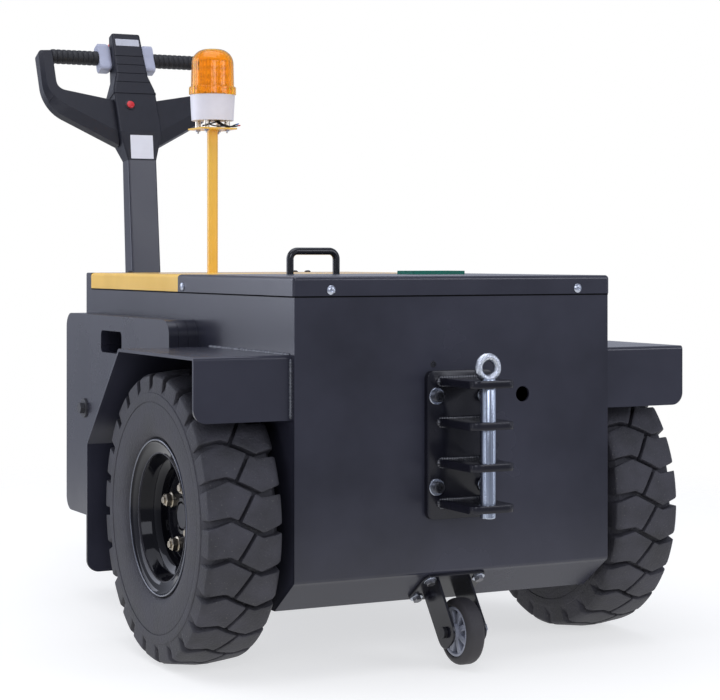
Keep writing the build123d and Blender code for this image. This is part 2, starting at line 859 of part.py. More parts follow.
dome_top_z = ring_z + beacon_ring_height + beacon_dome_height
with BuildPart() as beacon_lens:
    with BuildSketch(pole_plane):
        with BuildLine():
            Polyline(
                (0, ring_z),
                (beacon_ring_r, ring_z),
                (beacon_ring_r, ring_z + beacon_ring_height),
                (beacon_dome_r, ring_z + beacon_ring_height),
                (beacon_dome_r, dome_top_z),
                (0, dome_top_z),
                close=True,
            )
        dome = make_face()
        fillet(dome.vertices().group_by(Axis.Y)[-1].sort_by(Axis.X)[-1], beacon_dome_round)
        with BuildLine():
            inner_r = beacon_dome_r - beacon_lens_wall
            inner_top_z = dome_top_z - beacon_lens_wall
            FilletPolyline(
                (0, ring_z),
                (inner_r, ring_z),
                (inner_r, inner_top_z),
                (0, inner_top_z),
                radius=[0, 0, beacon_dome_round - beacon_lens_wall, 0],
                close=True,
            )
        make_face(mode=Mode.SUBTRACT)
    revolve(axis=pole_line)
save(beacon_lens, "beacon_lens")

with BuildPart() as beacon_lamp:
    with BuildSketch(Plane.XY.offset(ring_z)):
        with Locations((pole_x, pole_y)):
            Circle(beacon_lamp_r)
    extrude(amount=beacon_lamp_height)
    fillet(beacon_lamp.faces().sort_by(Axis.Z)[-1].edges(), beacon_lamp_r / 2)
save(beacon_lamp, "beacon_lamp")

# Nose beam with the steering bore and two gussets
nose_top_z = nose_z + nose_thick
with BuildPart() as nose:
    with BuildSketch(Plane.XY.offset(nose_z)):
        with Locations((0, end_y + plate)):
            Rectangle(2 * nose_half, 2 * plate)
        with Locations((0, steer_y)):
            Circle(nose_end_r)
        make_hull()
        with Locations((0, steer_y)):
            Circle(steer_spindle_r + steer_bore_gap, mode=Mode.SUBTRACT)
    extrude(amount=nose_thick)
    with BuildSketch(Plane.YZ):
        with BuildLine():
            Polyline(
                (end_y, nose_z),
                (end_y + gusset_run, nose_z),
                (end_y, nose_z - gusset_drop),
                close=True,
            )
        make_face()
    extrude(amount=gusset_half + gusset_thick / 2, both=True)
    with BuildSketch(Plane.YZ):
        with Locations((end_y + gusset_run / 2, nose_z - gusset_drop / 2)):
            Rectangle(gusset_run, gusset_drop)
    extrude(amount=gusset_half - gusset_thick / 2, both=True, mode=Mode.SUBTRACT)
save(nose, "nose_beam")

# Steering fork: crown, spindle through the nose and two legs
fork_in = steer_tyre_width / 2 + fork_side_gap
fork_out = fork_in + fork_leg_thick
crown_z = nose_z - thrust_gap - crown_thick
with BuildPart() as fork:
    with BuildSketch(Plane.XY.offset(crown_z)):
        with Locations((0, steer_y)):
            Circle(crown_r)
    extrude(amount=crown_thick)
    with BuildSketch(Plane.XY.offset(crown_z + crown_thick)):
        with Locations((0, steer_y)):
            Circle(steer_spindle_r)
    extrude(amount=nose_thick + 2 * thrust_gap)
    for sx in (-1, 1):
        with BuildSketch(side_plane(sx * fork_in)):
            with Locations((steer_y, crown_z + crown_thick / 4)):
                Rectangle(fork_leg_width + crown_thick, crown_thick / 2)
            with Locations((steer_y, steer_tyre_r)):
                Circle(fork_end_r)
            make_hull()
            with Locations((steer_y, steer_tyre_r)):
                Circle(steer_axle_r + running_gap, mode=Mode.SUBTRACT)
        extrude(amount=sx * fork_leg_thick)
save(fork, "steer_fork")

steer_line = Axis((0, steer_y, steer_tyre_r), (1, 0, 0))
with BuildPart() as steer_axle:
    with BuildSketch(side_plane(-fork_out)):
        with Locations((steer_y, steer_tyre_r)):
            Circle(steer_axle_r)
    extrude(amount=2 * fork_out)
save(steer_axle, "steer_axle")

with BuildPart() as steer_hub:
    bore_r = steer_axle_r + running_gap
    with BuildSketch(across(steer_y, steer_tyre_r)):
        with Locations((0, (bore_r + 2 * bore_r) / 2)):
            Rectangle(steer_tyre_width + fork_side_gap, bore_r)
        with Locations((0, (2 * bore_r + steer_rim_r) / 2)):
            Rectangle(2 * steer_web_half, steer_rim_r - 2 * bore_r)
        with Locations((0, steer_rim_r - steer_hub_wall / 2)):
            Rectangle(steer_tyre_width, steer_hub_wall)
    revolve(axis=steer_line)
save(steer_hub, "steer_hub")

with BuildPart() as steer_tyre:
    with BuildSketch(across(steer_y, steer_tyre_r)):
        with Locations((0, (steer_rim_r + running_gap + steer_tyre_r) / 2)):
            band = Rectangle(steer_tyre_width, steer_tyre_r - steer_rim_r - running_gap)
        fillet(band.vertices().group_by(Axis.Y)[-1], steer_tyre_round)
    revolve(axis=steer_line)
save(steer_tyre, "steer_tyre")

# Turntable with two ears that hold the tiller
ear_in = pivot_boss_width / 2 + ear_gap
ear_out = ear_in + ear_thick
turntable_z = nose_top_z + thrust_gap
with BuildPart() as turntable:
    with BuildSketch(Plane.XY.offset(turntable_z)):
        with Locations((0, steer_y)):
            Circle(turntable_r)
        with Locations((0, pivot_y)):
            Rectangle(2 * ear_out, 2 * ear_r)
        make_hull()
    extrude(amount=turntable_thick)
    for sx in (-1, 1):
        with BuildSketch(side_plane(sx * ear_in)):
            with Locations((pivot_y, turntable_z + turntable_thick / 2)):
                Rectangle(2 * ear_r, turntable_thick)
            with Locations((pivot_y, pivot_z)):
                Circle(ear_r)
            make_hull()
            with Locations((pivot_y, pivot_z)):
                Circle(pivot_pin_r + running_gap, mode=Mode.SUBTRACT)
        extrude(amount=sx * ear_thick)
save(turntable, "tiller_turntable")

with BuildPart() as tiller_pin:
    with BuildSketch(across(pivot_y, pivot_z)):
        with BuildLine():
            Polyline(
                (-ear_out - pivot_pin_head, 0),
                (-ear_out - pivot_pin_head, pivot_pin_head_r),
                (-ear_out, pivot_pin_head_r),
                (-ear_out, pivot_pin_r),
                (ear_out, pivot_pin_r),
                (ear_out, pivot_pin_head_r),
                (ear_out + pivot_pin_head, pivot_pin_head_r),
                (ear_out + pivot_pin_head, 0),
                close=True,
            )
        make_face()
    revolve(axis=Axis((0, pivot_y, pivot_z), (1, 0, 0)))
save(tiller_pin, "tiller_pin")

# Tiller column from its boss to the head, leaning towards the driver
lean = radians(column_lean)
column_plane = Plane(
    origin=(0, pivot_y, pivot_z), x_dir=(1, 0, 0), z_dir=(0, sin(lean), cos(lean))
)
head_base = Plane(
    origin=(0, tow_y + head_from_tow, head_z), x_dir=(1, 0, 0), z_dir=(0, sin(head_turn), cos(head_turn))
)
head_face = Plane(
    origin=head_base.origin, x_dir=(1, 0, 0), z_dir=(0, -cos(head_turn), sin(head_turn))
)
with BuildPart() as column:
    with BuildSketch(side_plane(-pivot_boss_width / 2)):
        with Locations((pivot_y, pivot_z)):
            Circle(pivot_boss_r)
    extrude(amount=pivot_boss_width)
    with BuildSketch(column_plane):
        Rectangle(pivot_boss_width, column_neck_depth)
    extrude(amount=column_neck)
    with BuildSketch(column_plane.offset(column_neck)):
        RectangleRounded(column_width, column_low_depth, column_round)
    with BuildSketch(column_plane.offset(column_top)):
        RectangleRounded(column_width, column_top_depth, column_round)
    loft(ruled=True)
    with BuildSketch(side_plane(-pivot_boss_width / 2)):
        with Locations((pivot_y, pivot_z)):
            Circle(pivot_pin_r + running_gap)
    extrude(amount=pivot_boss_width, mode=Mode.SUBTRACT)
save(column, "tiller_column")

# Collar that flares from the column to the head
with BuildPart() as collar:
    with BuildSketch(column_plane.offset(column_top)):
        RectangleRounded(column_width, column_top_depth, column_round)
    with BuildSketch(head_base):
        with Locations((0, head_depth / 2)):
            RectangleRounded(head_width, head_depth, column_round)
    loft(ruled=True)
save(collar, "tiller_collar")

# Head box, then the ribbed cap that narrows to a neck and tapers to the top
with BuildPart() as head_box:
    with BuildSketch(head_base):
        with Locations((0, head_depth / 2)):
            RectangleRounded(head_width, head_depth, column_round)
    extrude(amount=box_height)
save(head_box, "tiller_head")

lip_width = head_width + 2 * cap_lip
lip_depth = head_depth + 2 * cap_lip
# Columns: place along the head, width, depth
cap_sections = (
    (box_height, head_width, head_depth),
    (box_height + cap_flare, head_width, head_depth),
    (box_height + cap_waist, cap_waist_width, cap_waist_depth),
    (cap_height, cap_top_width, cap_top_depth),
)
with BuildPart() as cap:
    for along, width, depth in cap_sections:
        with BuildSketch(head_base.offset(along)):
            with Locations((0, depth / 2)):
                RectangleRounded(width, depth, cap_round)
    loft(ruled=True)
    fillet(cap.faces().sort_by(Axis.Z)[-1].edges(), cap_round / 2)
    with BuildSketch(head_base.offset(box_height)):
        with Locations((0, head_depth / 2)):
            RectangleRounded(lip_width, lip_depth, cap_round)
    extrude(amount=cap_lip_height)
    with BuildSketch(head_face):
        for index in range(rib_count):
            with Locations((0, rib_start + index * rib_pitch)):
                Rectangle(head_width, rib_width)
    extrude(amount=-rib_sink, mode=Mode.SUBTRACT)
save(cap, "tiller_cap")

# Two arms that sweep out from the head and up to the grips
arm_plane = head_face.offset(-arm_setback)
# Columns: sideways, along the head, radius of the bend there
arm_points = (
    (head_width / 2, arm_root_low, 0),
    (arm_outer - arm_knee_in, arm_knee, arm_outer_bend),
    (arm_outer, arm_bar_low, arm_outer_bend),
    (arm_outer, arm_top, arm_top_bend),
    (arm_outer - arm_bar, arm_top, 0),
    (arm_outer - arm_bar, arm_window_low, arm_inner_bend),
    (head_width / 2, arm_root_high, 0),
)
with BuildPart() as arms:
    with BuildSketch(arm_plane):
        for sx in (-1, 1):
            with BuildLine():
                FilletPolyline(
                    [(sx * x, s) for x, s, bend in arm_points],
                    radius=[bend for x, s, bend in arm_points],
                    close=True,
                )
            make_face()
    extrude(amount=-arm_depth)
    add(collar.part, mode=Mode.SUBTRACT)
save(arms, "tiller_arms")

# Grips between the arms and the cap
grip_plane = arm_plane.offset(-arm_depth / 2)
grip_at = grip_plane.origin + grip_plane.y_dir * grip_height
grip_section = Plane(origin=grip_at, x_dir=grip_plane.y_dir, z_dir=(1, 0, 0))
knob_out = knob_in + knob_width
with BuildPart() as grips:
    for sx in (-1, 1):
        with BuildSketch(grip_section.offset(sx * knob_out)):
            Circle(grip_r)
        extrude(amount=sx * (arm_outer - arm_bar - knob_out))
save(grips, "tiller_grips")

# Turning knobs for the drive, one beside each grip on a short shaft out of the cap
with BuildPart() as knobs:
    for sx in (-1, 1):
        with BuildSketch(grip_section.offset(sx * knob_in)):
            RectangleRounded(knob_length, knob_depth, knob_depth / 3)
        extrude(amount=sx * knob_width)
        with BuildSketch(grip_section.offset(sx * knob_in)):
            Circle(knob_shaft_r)
        extrude(amount=-sx * knob_shaft)
    add(cap.part, mode=Mode.SUBTRACT)
save(knobs, "throttle_knobs")

# Belly button on the driver's side of the cap
with BuildPart() as belly:
    with BuildSketch(head_face.offset(-cap_top_depth)):
        with Locations((0, cap_height - belly_height / 2)):
            RectangleRounded(belly_width, belly_height, belly_height / 4)
    extrude(amount=-belly_depth)
    add(cap.part, mode=Mode.SUBTRACT)
save(belly, "belly_button")
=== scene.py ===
from math import pi, radians

import bmesh
import bpy
import numpy as np
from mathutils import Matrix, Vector


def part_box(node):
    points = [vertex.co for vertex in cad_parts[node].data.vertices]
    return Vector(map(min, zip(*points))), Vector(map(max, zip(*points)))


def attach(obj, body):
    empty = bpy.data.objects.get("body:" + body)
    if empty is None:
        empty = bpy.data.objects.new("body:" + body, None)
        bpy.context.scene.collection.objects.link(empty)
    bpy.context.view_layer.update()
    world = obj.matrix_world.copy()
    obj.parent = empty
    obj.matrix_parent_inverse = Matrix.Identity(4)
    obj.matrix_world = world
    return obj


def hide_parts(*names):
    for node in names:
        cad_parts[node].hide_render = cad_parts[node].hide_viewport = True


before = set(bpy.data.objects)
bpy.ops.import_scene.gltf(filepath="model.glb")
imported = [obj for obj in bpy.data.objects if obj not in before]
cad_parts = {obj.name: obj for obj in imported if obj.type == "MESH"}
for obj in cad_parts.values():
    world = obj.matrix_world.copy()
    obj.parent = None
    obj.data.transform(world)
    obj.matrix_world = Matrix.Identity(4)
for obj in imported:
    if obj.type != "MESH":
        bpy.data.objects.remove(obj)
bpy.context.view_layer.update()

# Looks of an electric tow tractor, dressed round its solids. Metres, +Z up, +Y from hitch to tiller.

# Places read from the solids
tow_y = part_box("tow_end_plate")[0].y
half_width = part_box("tow_end_plate")[1].x
lid_low, lid_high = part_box("lid")
hitch_low, hitch_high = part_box("hitch_bracket")
left_low, left_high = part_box("tyre_left")
right_low, right_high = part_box("tyre_right")
axle_y = (left_low.y + left_high.y) / 2
tyre_r = (left_high.z - left_low.z) / 2
wheel_middle = {
    "left": ((left_low.x + left_high.x) / 2, axle_y, tyre_r),
    "right": ((right_low.x + right_high.x) / 2, axle_y, tyre_r),
}
sides = {"left": -1, "right": 1}
sideways = np.array((1.0, 0, 0))
# Corners of a square outline, to be scaled by half its sides
square = np.array(((-1, -1), (1, -1), (1, 1), (-1, 1)))

# Finishes
# Where most values of a noise lie, and where only its sparse peaks do
noise_span = (0.3, 0.7)
speck_span = (0.69, 0.79)
# Scales of the specks and of the relief, as multiples of the grain
speck_grain, relief_grain = 14, 12


def noise_of(tree, vector, scale, detail):
    """Output of a noise over a vector output."""
    made = tree.nodes.new("ShaderNodeTexNoise")
    made.inputs["Scale"].default_value = scale
    made.inputs["Detail"].default_value = detail
    tree.links.new(vector, made.inputs["Vector"])
    return made.outputs["Fac"]


def mapped(tree, value, low, high, to_low=0.0, to_high=1.0, smooth=False):
    """Output from `to_low` to `to_high` while a value goes from `low` to `high`, eased if `smooth`."""
    made = tree.nodes.new("ShaderNodeMapRange")
    if smooth:
        made.interpolation_type = "SMOOTHSTEP"
    for socket, number in (("From Min", low), ("From Max", high), ("To Min", to_low), ("To Max", to_high)):
        made.inputs[socket].default_value = number
    tree.links.new(value, made.inputs["Value"])
    return made.outputs["Result"]


def finish(
    name, colour, rough, metal=0.0, grain=60.0, change=0.15, relief=0.0, shine=0.5, spread=0.08, draw=1.0,
    dust=None,
):
    """Principled shader in object coordinates: one noise shifts the colour between a darker and a lighter
    tone and the roughness by `spread` either way, and a finer one lifts the surface by `relief` metres.
    `draw` under one draws the first noise out upwards, and `dust` is the colour of sparse specks."""
    made = bpy.data.materials.new(name)
    made.use_nodes = True
    tree = made.node_tree
    shader = tree.nodes["Principled BSDF"]
    place = tree.nodes.new("ShaderNodeTexCoord").outputs["Object"]
    drawn = tree.nodes.new("ShaderNodeMapping")
    drawn.inputs["Scale"].default_value = (1, 1, draw)
    tree.links.new(place, drawn.inputs["Vector"])
    noise = noise_of(tree, drawn.outputs["Vector"], grain, detail=5.0)
    tones = tree.nodes.new("ShaderNodeValToRGB")
    for stop, position, factor in zip(tones.color_ramp.elements, noise_span, (1 - change, 1 + change)):
        stop.position = position
        stop.color = (*[min(part * factor, 1) for part in colour], 1)
    tree.links.new(noise, tones.inputs["Fac"])
    tree.links.new(tones.outputs["Color"], shader.inputs["Base Color"])
    if dust:
        specks = noise_of(tree, place, grain * speck_grain, detail=1.0)
        dusted = tree.nodes.new("ShaderNodeMix")
        dusted.data_type = "RGBA"
        dusted.inputs["B"].default_value = (*dust, 1)
        tree.links.new(mapped(tree, specks, *speck_span), dusted.inputs["Factor"])
        tree.links.new(tones.outputs["Color"], dusted.inputs["A"])
        tree.links.new(dusted.outputs["Result"], shader.inputs["Base Color"])
    gloss = mapped(tree, noise, *noise_span, max(rough - spread, 0.02), min(rough + spread, 1.0))
    tree.links.new(gloss, shader.inputs["Roughness"])
    shader.inputs["Metallic"].default_value = metal
    shader.inputs["Specular IOR Level"].default_value = shine
    if relief:
        bump = tree.nodes.new("ShaderNodeBump")
        bump.inputs["Distance"].default_value = relief
        bump.inputs["Strength"].default_value = 1.0
        tree.links.new(noise_of(tree, place, grain * relief_grain, detail=3.0), bump.inputs["Height"])
        tree.links.new(bump.outputs["Normal"], shader.inputs["Normal"])
    return made


charcoal = (0.026, 0.0265, 0.039)
paint = finish("charcoal_paint", charcoal, 0.24, grain=9, change=0.12, relief=0.00003, spread=0.03)
ballast_paint = finish("ballast_paint", (0.020, 0.0205, 0.031), 0.3, grain=7, change=0.12, relief=0.00006)
# Large soft clouds of lighter and darker tone on the tow end plate: painted reflections
plate_paint_painted_reflections = finish("plate_paint_painted_reflections", charcoal, 0.24, grain=4.5, change=0.34, relief=0.00003, spread=0.05)
yellow = finish("yellow_paint", (0.97, 0.58, 0.085), 0.2, grain=12, change=0.05)
rim_black = finish(
    "gloss_rim_black", (0.004, 0.004, 0.006), 0.08, grain=20, change=0.2, spread=0.03, shine=0.2,
)
rubber = finish(
    "tyre_rubber", (0.031, 0.030, 0.037), 0.66, grain=24, change=0.45, relief=0.0013, dust=(0.09, 0.087, 0.084),
)
rod_black = finish("handle_black", (0.012, 0.012, 0.015), 0.14, grain=40, change=0.15)
pad_green = finish("pad_green", (0.012, 0.18, 0.125), 0.75, grain=90, change=0.12, relief=0.0003)
zinc = finish("bright_zinc", (0.5, 0.53, 0.6), 0.26, metal=1.0, grain=70, change=0.12)
nut_gold = finish("gold_zinc", (0.42, 0.375, 0.3), 0.34, metal=1.0, grain=160, change=0.25)
dull_black = finish("dull_black", (0.05, 0.05, 0.056), 0.3, metal=0.8, grain=140, change=0.25)
black_screw = finish("black_oxide", (0.03, 0.03, 0.034), 0.35, metal=0.6, grain=160, change=0.2)
iron = finish("black_iron", (0.03, 0.03, 0.034), 0.5, grain=25, change=0.2, relief=0.0003)
battery_case = finish("battery_case", (0.07, 0.07, 0.08), 0.55, grain=20, change=0.1)
roller_grey = finish("roller_grey", (0.3, 0.315, 0.37), 0.45, grain=60, change=0.08)
plastic = finish(
    "tiller_plastic", (0.011, 0.0115, 0.018), 0.42, grain=80, change=0.12, relief=0.00012, shine=0.36,
)
grip_rubber = finish("grip_rubber", (0.012, 0.012, 0.014), 0.55, grain=90, change=0.2)
knob_grey = finish("knob_grey", (0.42, 0.44, 0.54), 0.42, grain=60, change=0.06)
button_red = finish("button_red", (0.62, 0.02, 0.025), 0.3, grain=80, change=0.1)
beacon_white = finish("beacon_white", (0.86, 0.85, 0.9), 0.4, grain=40, change=0.04)
label_white = finish("blank_white_label", (0.82, 0.82, 0.85), 0.4, grain=50, change=0.03)
label_grey = finish("blank_grey_label", (0.5, 0.51, 0.55), 0.35, grain=50, change=0.05)
weld_black = finish("painted_weld", (0.03, 0.031, 0.038), 0.16, grain=200, change=0.25, shine=0.9)
# Pale bluish colour of the rim's lip ring: painted highlight
rim_lip_painted_highlight = finish(
    "rolled_edge_painted_highlight", (0.07, 0.076, 0.1), 0.18, grain=30, change=0.2, shine=0.9, spread=0.05,
)
fresh_weld = finish("grey_weld", (0.085, 0.09, 0.105), 0.26, grain=200, change=0.3, shine=0.8)
hitch_black = finish(
    "gloss_hitch_black", (0.008, 0.008, 0.013), 0.22, grain=15, change=0.2, shine=0.36, spread=0.05,
)
pin_zinc = finish(
    "blue_zinc", (0.47, 0.52, 0.61), 0.17, metal=1.0, grain=190, change=0.3, relief=0.00006, spread=0.06,
    draw=0.02,
)
cast_zinc = finish("cast_zinc", (0.62, 0.65, 0.7), 0.22, metal=1.0, grain=45, change=0.25, relief=0.0009)
dull_zinc = finish("dull_zinc", (0.2, 0.2, 0.215), 0.42, metal=1.0, grain=120, change=0.3)
# Near-black matt colour of the strip under the covers: painted shadow of the gap
painted_gap_shadow_black = finish("painted_gap_shadow_black", (0.004, 0.004, 0.005), 0.9, grain=90, change=0.3, shine=0.1)
roller_rubber = finish("roller_rubber", (0.030, 0.0275, 0.030), 0.6, grain=40, change=0.22, relief=0.0002)
wire_black = finish("wire_black", (0.01, 0.01, 0.012), 0.45, grain=90, change=0.2)
brass = finish("pale_brass", (0.9, 0.82, 0.68), 0.35, metal=1.0, grain=120, change=0.1)
optic_amber = finish("amber_reflector", (1.0, 0.86, 0.22), 0.2, grain=60, change=0.08, shine=0.8)
lead_blue = finish("lead_blue", (0.03, 0.12, 0.45), 0.45, grain=90, change=0.15)
lamp_glass = finish("lamp_glass", (0.95, 0.5, 0.08), 0.2, grain=60, change=0.1)

# Tinted clear plastic of the lens: the light that goes through takes the colour
amber = finish("amber_lens", (1.0, 0.53, 0.006), 0.02, grain=30, change=0.04, spread=0.02)
amber.node_tree.nodes["Principled BSDF"].inputs["Transmission Weight"].default_value = 0.96
amber.node_tree.nodes["Principled BSDF"].inputs["IOR"].default_value = 1.42

# The bevelled underside of the tow end shines less than the plate above its bend
bend_low, bend_high = 0.146, 0.152
bevel_shine, plate_shine = 0.22, 0.5
tree = plate_paint_painted_reflections.node_tree
split = tree.nodes.new("ShaderNodeSeparateXYZ")
tree.links.new(tree.nodes.new("ShaderNodeTexCoord").outputs["Object"], split.inputs["Vector"])
shine = mapped(tree, split.outputs["Z"], bend_low, bend_high, bevel_shine, plate_shine)
tree.links.new(shine, tree.nodes["Principled BSDF"].inputs["Specular IOR Level"])

slot_finish = {
    "body_paint": paint,
    "ballast_paint": ballast_paint,
    "cover_yellow": yellow,
    "rim_black": rim_black,
    "tyre_rubber": rubber,
    "handle_black": rod_black,
    "pad_green": pad_green,
    "zinc": zinc,
    "iron": iron,
    "battery_case": battery_case,
    "roller_grey": roller_grey,
    "tiller_plastic": plastic,
    "grip_rubber": grip_rubber,
    "knob_grey": knob_grey,
    "button_red": button_red,
    "beacon_white": beacon_white,
    "beacon_amber": amber,
    "lamp_glass": lamp_glass,
}
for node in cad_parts.values():
    slot = node.data.materials[0].name.split(".")[0]
    node.data.materials[0] = slot_finish[slot]
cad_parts["roller_axle"].data.materials[0] = black_screw
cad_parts["tow_end_plate"].data.materials[0] = plate_paint_painted_reflections

# Surfaces worked out on a grid


def grid_faces(rows, columns, wrap_rows):
    """Quads between neighbouring grid points, numbered row by row. The columns join back to the first, and
    with `wrap_rows` so do the rows."""
    row = np.arange(rows if wrap_rows else rows - 1)[:, None]
    column = np.arange(columns)[None, :]
    below, beside = (row + 1) % rows, (column + 1) % columns
    corners = (
        row * columns + column,
        row * columns + beside,
        below * columns + beside,
        below * columns + column,
    )
    return np.stack(np.broadcast_arrays(*corners), axis=-1).reshape(-1, 4)


def shell(points, wrap_rows=False, capped=True):
    """Vertices and faces of a grid of points whose rows are closed rings. `wrap_rows` joins the last row to
    the first; without it, `capped` closes both with a fan to the middle."""
    rows, columns = points.shape[:2]
    vertices = points.reshape(-1, 3)
    faces = grid_faces(rows, columns, wrap_rows).tolist()
    if capped and not wrap_rows:
        middles = np.stack([points[0].mean(axis=0), points[-1].mean(axis=0)])
        vertices = np.concatenate([vertices, middles])
        here = np.arange(columns)
        there = (here + 1) % columns
        last = (rows - 1) * columns
        ends = (
            np.stack([there, here, np.full(columns, rows * columns)], axis=-1),
            np.stack([last + here, last + there, np.full(columns, rows * columns + 1)], axis=-1),
        )
        faces += np.concatenate(ends).tolist()
    return vertices, faces


def piece(name, shells, look, body, edge=35.0, stands_for=()):
    """One mesh object from several shells, its faces turned outwards, its edges over `edge` degrees sharp."""
    vertices, faces, count = [], [], 0
    for points, quads in shells:
        vertices.append(points)
        faces += [[index + count for index in quad] for quad in quads]
        count += len(points)
    mesh = bpy.data.meshes.new(name)
    mesh.from_pydata(np.concatenate(vertices), [], faces)
    outward = bmesh.new()
    outward.from_mesh(mesh)
    bmesh.ops.recalc_face_normals(outward, faces=outward.faces)
    outward.to_mesh(mesh)
    outward.free()
    mesh.polygons.foreach_set("use_smooth", np.ones(len(mesh.polygons), dtype=bool))
    mesh.set_sharp_from_angle(angle=radians(edge))
    mesh.materials.append(look)
    made = bpy.data.objects.new(name, mesh)
    bpy.context.scene.collection.objects.link(made)
    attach(made, body)
    if stands_for:
        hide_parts(*stands_for)


def frame_of(axis):
    """Three unit vectors: two across the axis and the axis itself."""
    axis = np.array(axis, float) / np.linalg.norm(axis)
    hint = np.array((0, 0, 1) if abs(axis[2]) < 0.9 else (1, 0, 0), float)
    first = hint - axis * hint.dot(axis)
    first /= np.linalg.norm(first)
    return first, np.cross(axis, first), axis


def turned(profile, origin, axis, count=40, flats=0):
    """Profile of (distance along the axis, radius) carried round the axis. With `flats`, the radius is that
    of a polygon: the radius across the flats over the cosine of the angle from the middle of a flat."""
    first, second, along = frame_of(axis)
    angle = np.linspace(0, 2 * pi, count, endpoint=False)
    profile = np.array(profile, float)
    reach = np.ones(count)
    if flats:
        flat = 2 * pi / flats
        reach = 1 / np.cos((angle + flat / 2) % flat - flat / 2)
    ring = (np.cos(angle)[:, None] * first + np.sin(angle)[:, None] * second) * reach[:, None]
    points = np.array(origin, float) + profile[:, 0, None, None] * along + profile[:, 1, None, None] * ring
    return shell(points)


def around_axle(loop, middle, sx=1, count=96):
    """Closed loop of (place outwards, radius) carried once round a sideways axle through `middle`."""
    angle = np.linspace(0, 2 * pi, count, endpoint=False)[:, None]
    points = np.stack(np.broadcast_arrays(
        middle[0] + sx * loop[:, 0],
        middle[1] + loop[:, 1] * np.cos(angle),
        middle[2] + loop[:, 1] * np.sin(angle),
    ), axis=-1)
    return shell(points, wrap_rows=True)


def tube(path, radius, count=12):
    """Circle carried along a path of points, square to the way between the neighbours of each point."""
    path = np.array(path, float)
    way = np.gradient(path, axis=0)
    way /= np.linalg.norm(way, axis=1)[:, None]
    # Any vector that the path never runs along will do
    hint = np.array((0.0, 0.0, 1.0)) if abs(way[:, 2]).max() < 0.9 else np.array((0.31, 0.95, 0.05))
    first = hint - way * (way @ hint)[:, None]
    first /= np.linalg.norm(first, axis=1)[:, None]
    second = np.cross(way, first)
    angle = np.linspace(0, 2 * pi, count, endpoint=False)[None, :, None]
    radius = np.broadcast_to(radius, len(path))[:, None, None]
    ring = np.cos(angle) * first[:, None, :] + np.sin(angle) * second[:, None, :]
    return shell(path[:, None, :] + radius * ring)


def unit(vectors):
    """Vectors scaled to length one along the last axis."""
    return vectors / np.linalg.norm(vectors, axis=-1, keepdims=True)


def rounded(corners, radius, arc=4, run=1):
    """Closed outline: each corner is cut back by its radius and joined by a parabola, each edge has `run`
    steps."""
    corners = np.array(corners, float)
    radius = np.broadcast_to(radius, len(corners))[:, None]
    start = corners + radius * unit(np.roll(corners, 1, axis=0) - corners)
    end = corners + radius * unit(np.roll(corners, -1, axis=0) - corners)
    step = np.linspace(0, 1, arc)[None, :, None]
    bends = (1 - step) ** 2 * start[:, None] + 2 * step * (1 - step) * corners[:, None] + step**2 * end[:, None]
    step = np.linspace(0, 1, run + 1)[None, 1:-1, None]
    runs = (1 - step) * end[:, None] + step * np.roll(start, -1, axis=0)[:, None]
    return np.concatenate([bends, runs], axis=1).reshape(-1, 2)


def inset(loop, amount):
    """Outline moved inwards by `amount`, each point along its corner's bisector."""
    beyond = np.roll(loop, -1, axis=0)
    area = (loop[:, 0] * beyond[:, 1] - beyond[:, 0] * loop[:, 1]).sum()
    edge = unit(beyond - loop)
    left = np.stack([-edge[:, 1], edge[:, 0]], axis=-1)
    both = left + np.roll(left, 1, axis=0)
    return loop + amount * np.sign(area) * both * 2 / (both**2).sum(axis=1)[:, None]


def slab(rings, heights, origin, first, second, normal):
    """Plate in the plane of two unit vectors: one outline per height along the normal, walls between the
    outlines, and flat faces on the first and the last of them."""
    rings = np.stack([np.array(ring, float) for ring in rings])
    lift = np.stack([np.broadcast_to(height, rings.shape[1]) for height in heights])[..., None]
    points = np.array(origin, float) + rings[..., :1] * np.array(first, float)
    points = points + rings[..., 1:] * np.array(second, float) + lift * np.array(normal, float)
    vertices, faces = shell(points, capped=False)
    count = rings.shape[1]
    faces.append(list(range(count)))
    faces.append(list(range((len(rings) - 1) * count, len(rings) * count)))
    return vertices, faces


def lifted(rings, lifts):
    """Points of flat rings, each ring at its own height."""
    heights = np.broadcast_to(np.array(lifts, float)[:, None, None], (*rings.shape[:2], 1))
    return np.concatenate([rings, heights], axis=-1)


# Drive tyres: a smooth carcass with two rows of blocks between wavy cross grooves
lugs = 24
lug_foot = 0.034
pitch = 2 * pi * tyre_r / lugs
# The way round is counted upwards from the tow side, and a block's tip lies under the axle
lug_turn = radians(-5.35)
# Corners of a left-hand block: place across the tyre, place along its way
block_corners = np.array((
    (-0.0622, 0.0127),
    (-0.0265, 0.0173),
    (-0.0151, 0.0115),
    (0.0103, pitch - 0.0090),
    (-0.0265, pitch + 0.0097),
    (-0.0622, pitch - 0.0023),
)) - (0, pitch / 2)
block_corner, block_edge, block_lip = 0.0022, 0.0018, 0.0005
# The crown falls by a share of the way out from these places, and the outer walls lean in above a depth
crown_from, crown_fall = 0.008, 0.1175
shoulder_from, shoulder_fall = 0.0545, 0.55
lean_from, lean_run, lean_depth, lean_share = 0.05, 0.012, 0.022, 0.08
# Half of the carcass from bead to crown: place across and radius
carcass_side = np.array((
    (0.0486, 0.1014), (0.0488, 0.1254), (0.0515, 0.1270), (0.0555, 0.1305), (0.0590, 0.1370), (0.0612, 0.1450),
    (0.0624, 0.1550), (0.0628, 0.1680), (0.0626, 0.1800), (0.0625, 0.1832), (0.0619, 0.1836), (0.0619, 0.1846),
    (0.0630, 0.1850), (0.0632, 0.1900), (0.0632, 0.1965), (0.0628, 0.1985), (0.0618, 0.1992), (0.0605, 0.2030),
    (0.0560, 0.2110), (0.0500, 0.2170), (0.0350, 0.2198), (0.0150, 0.2213),
))
carcass_top = (0, 0.2215)
carcass = np.concatenate([carcass_side * (-1, 1), (carcass_top,), carcass_side[::-1]])


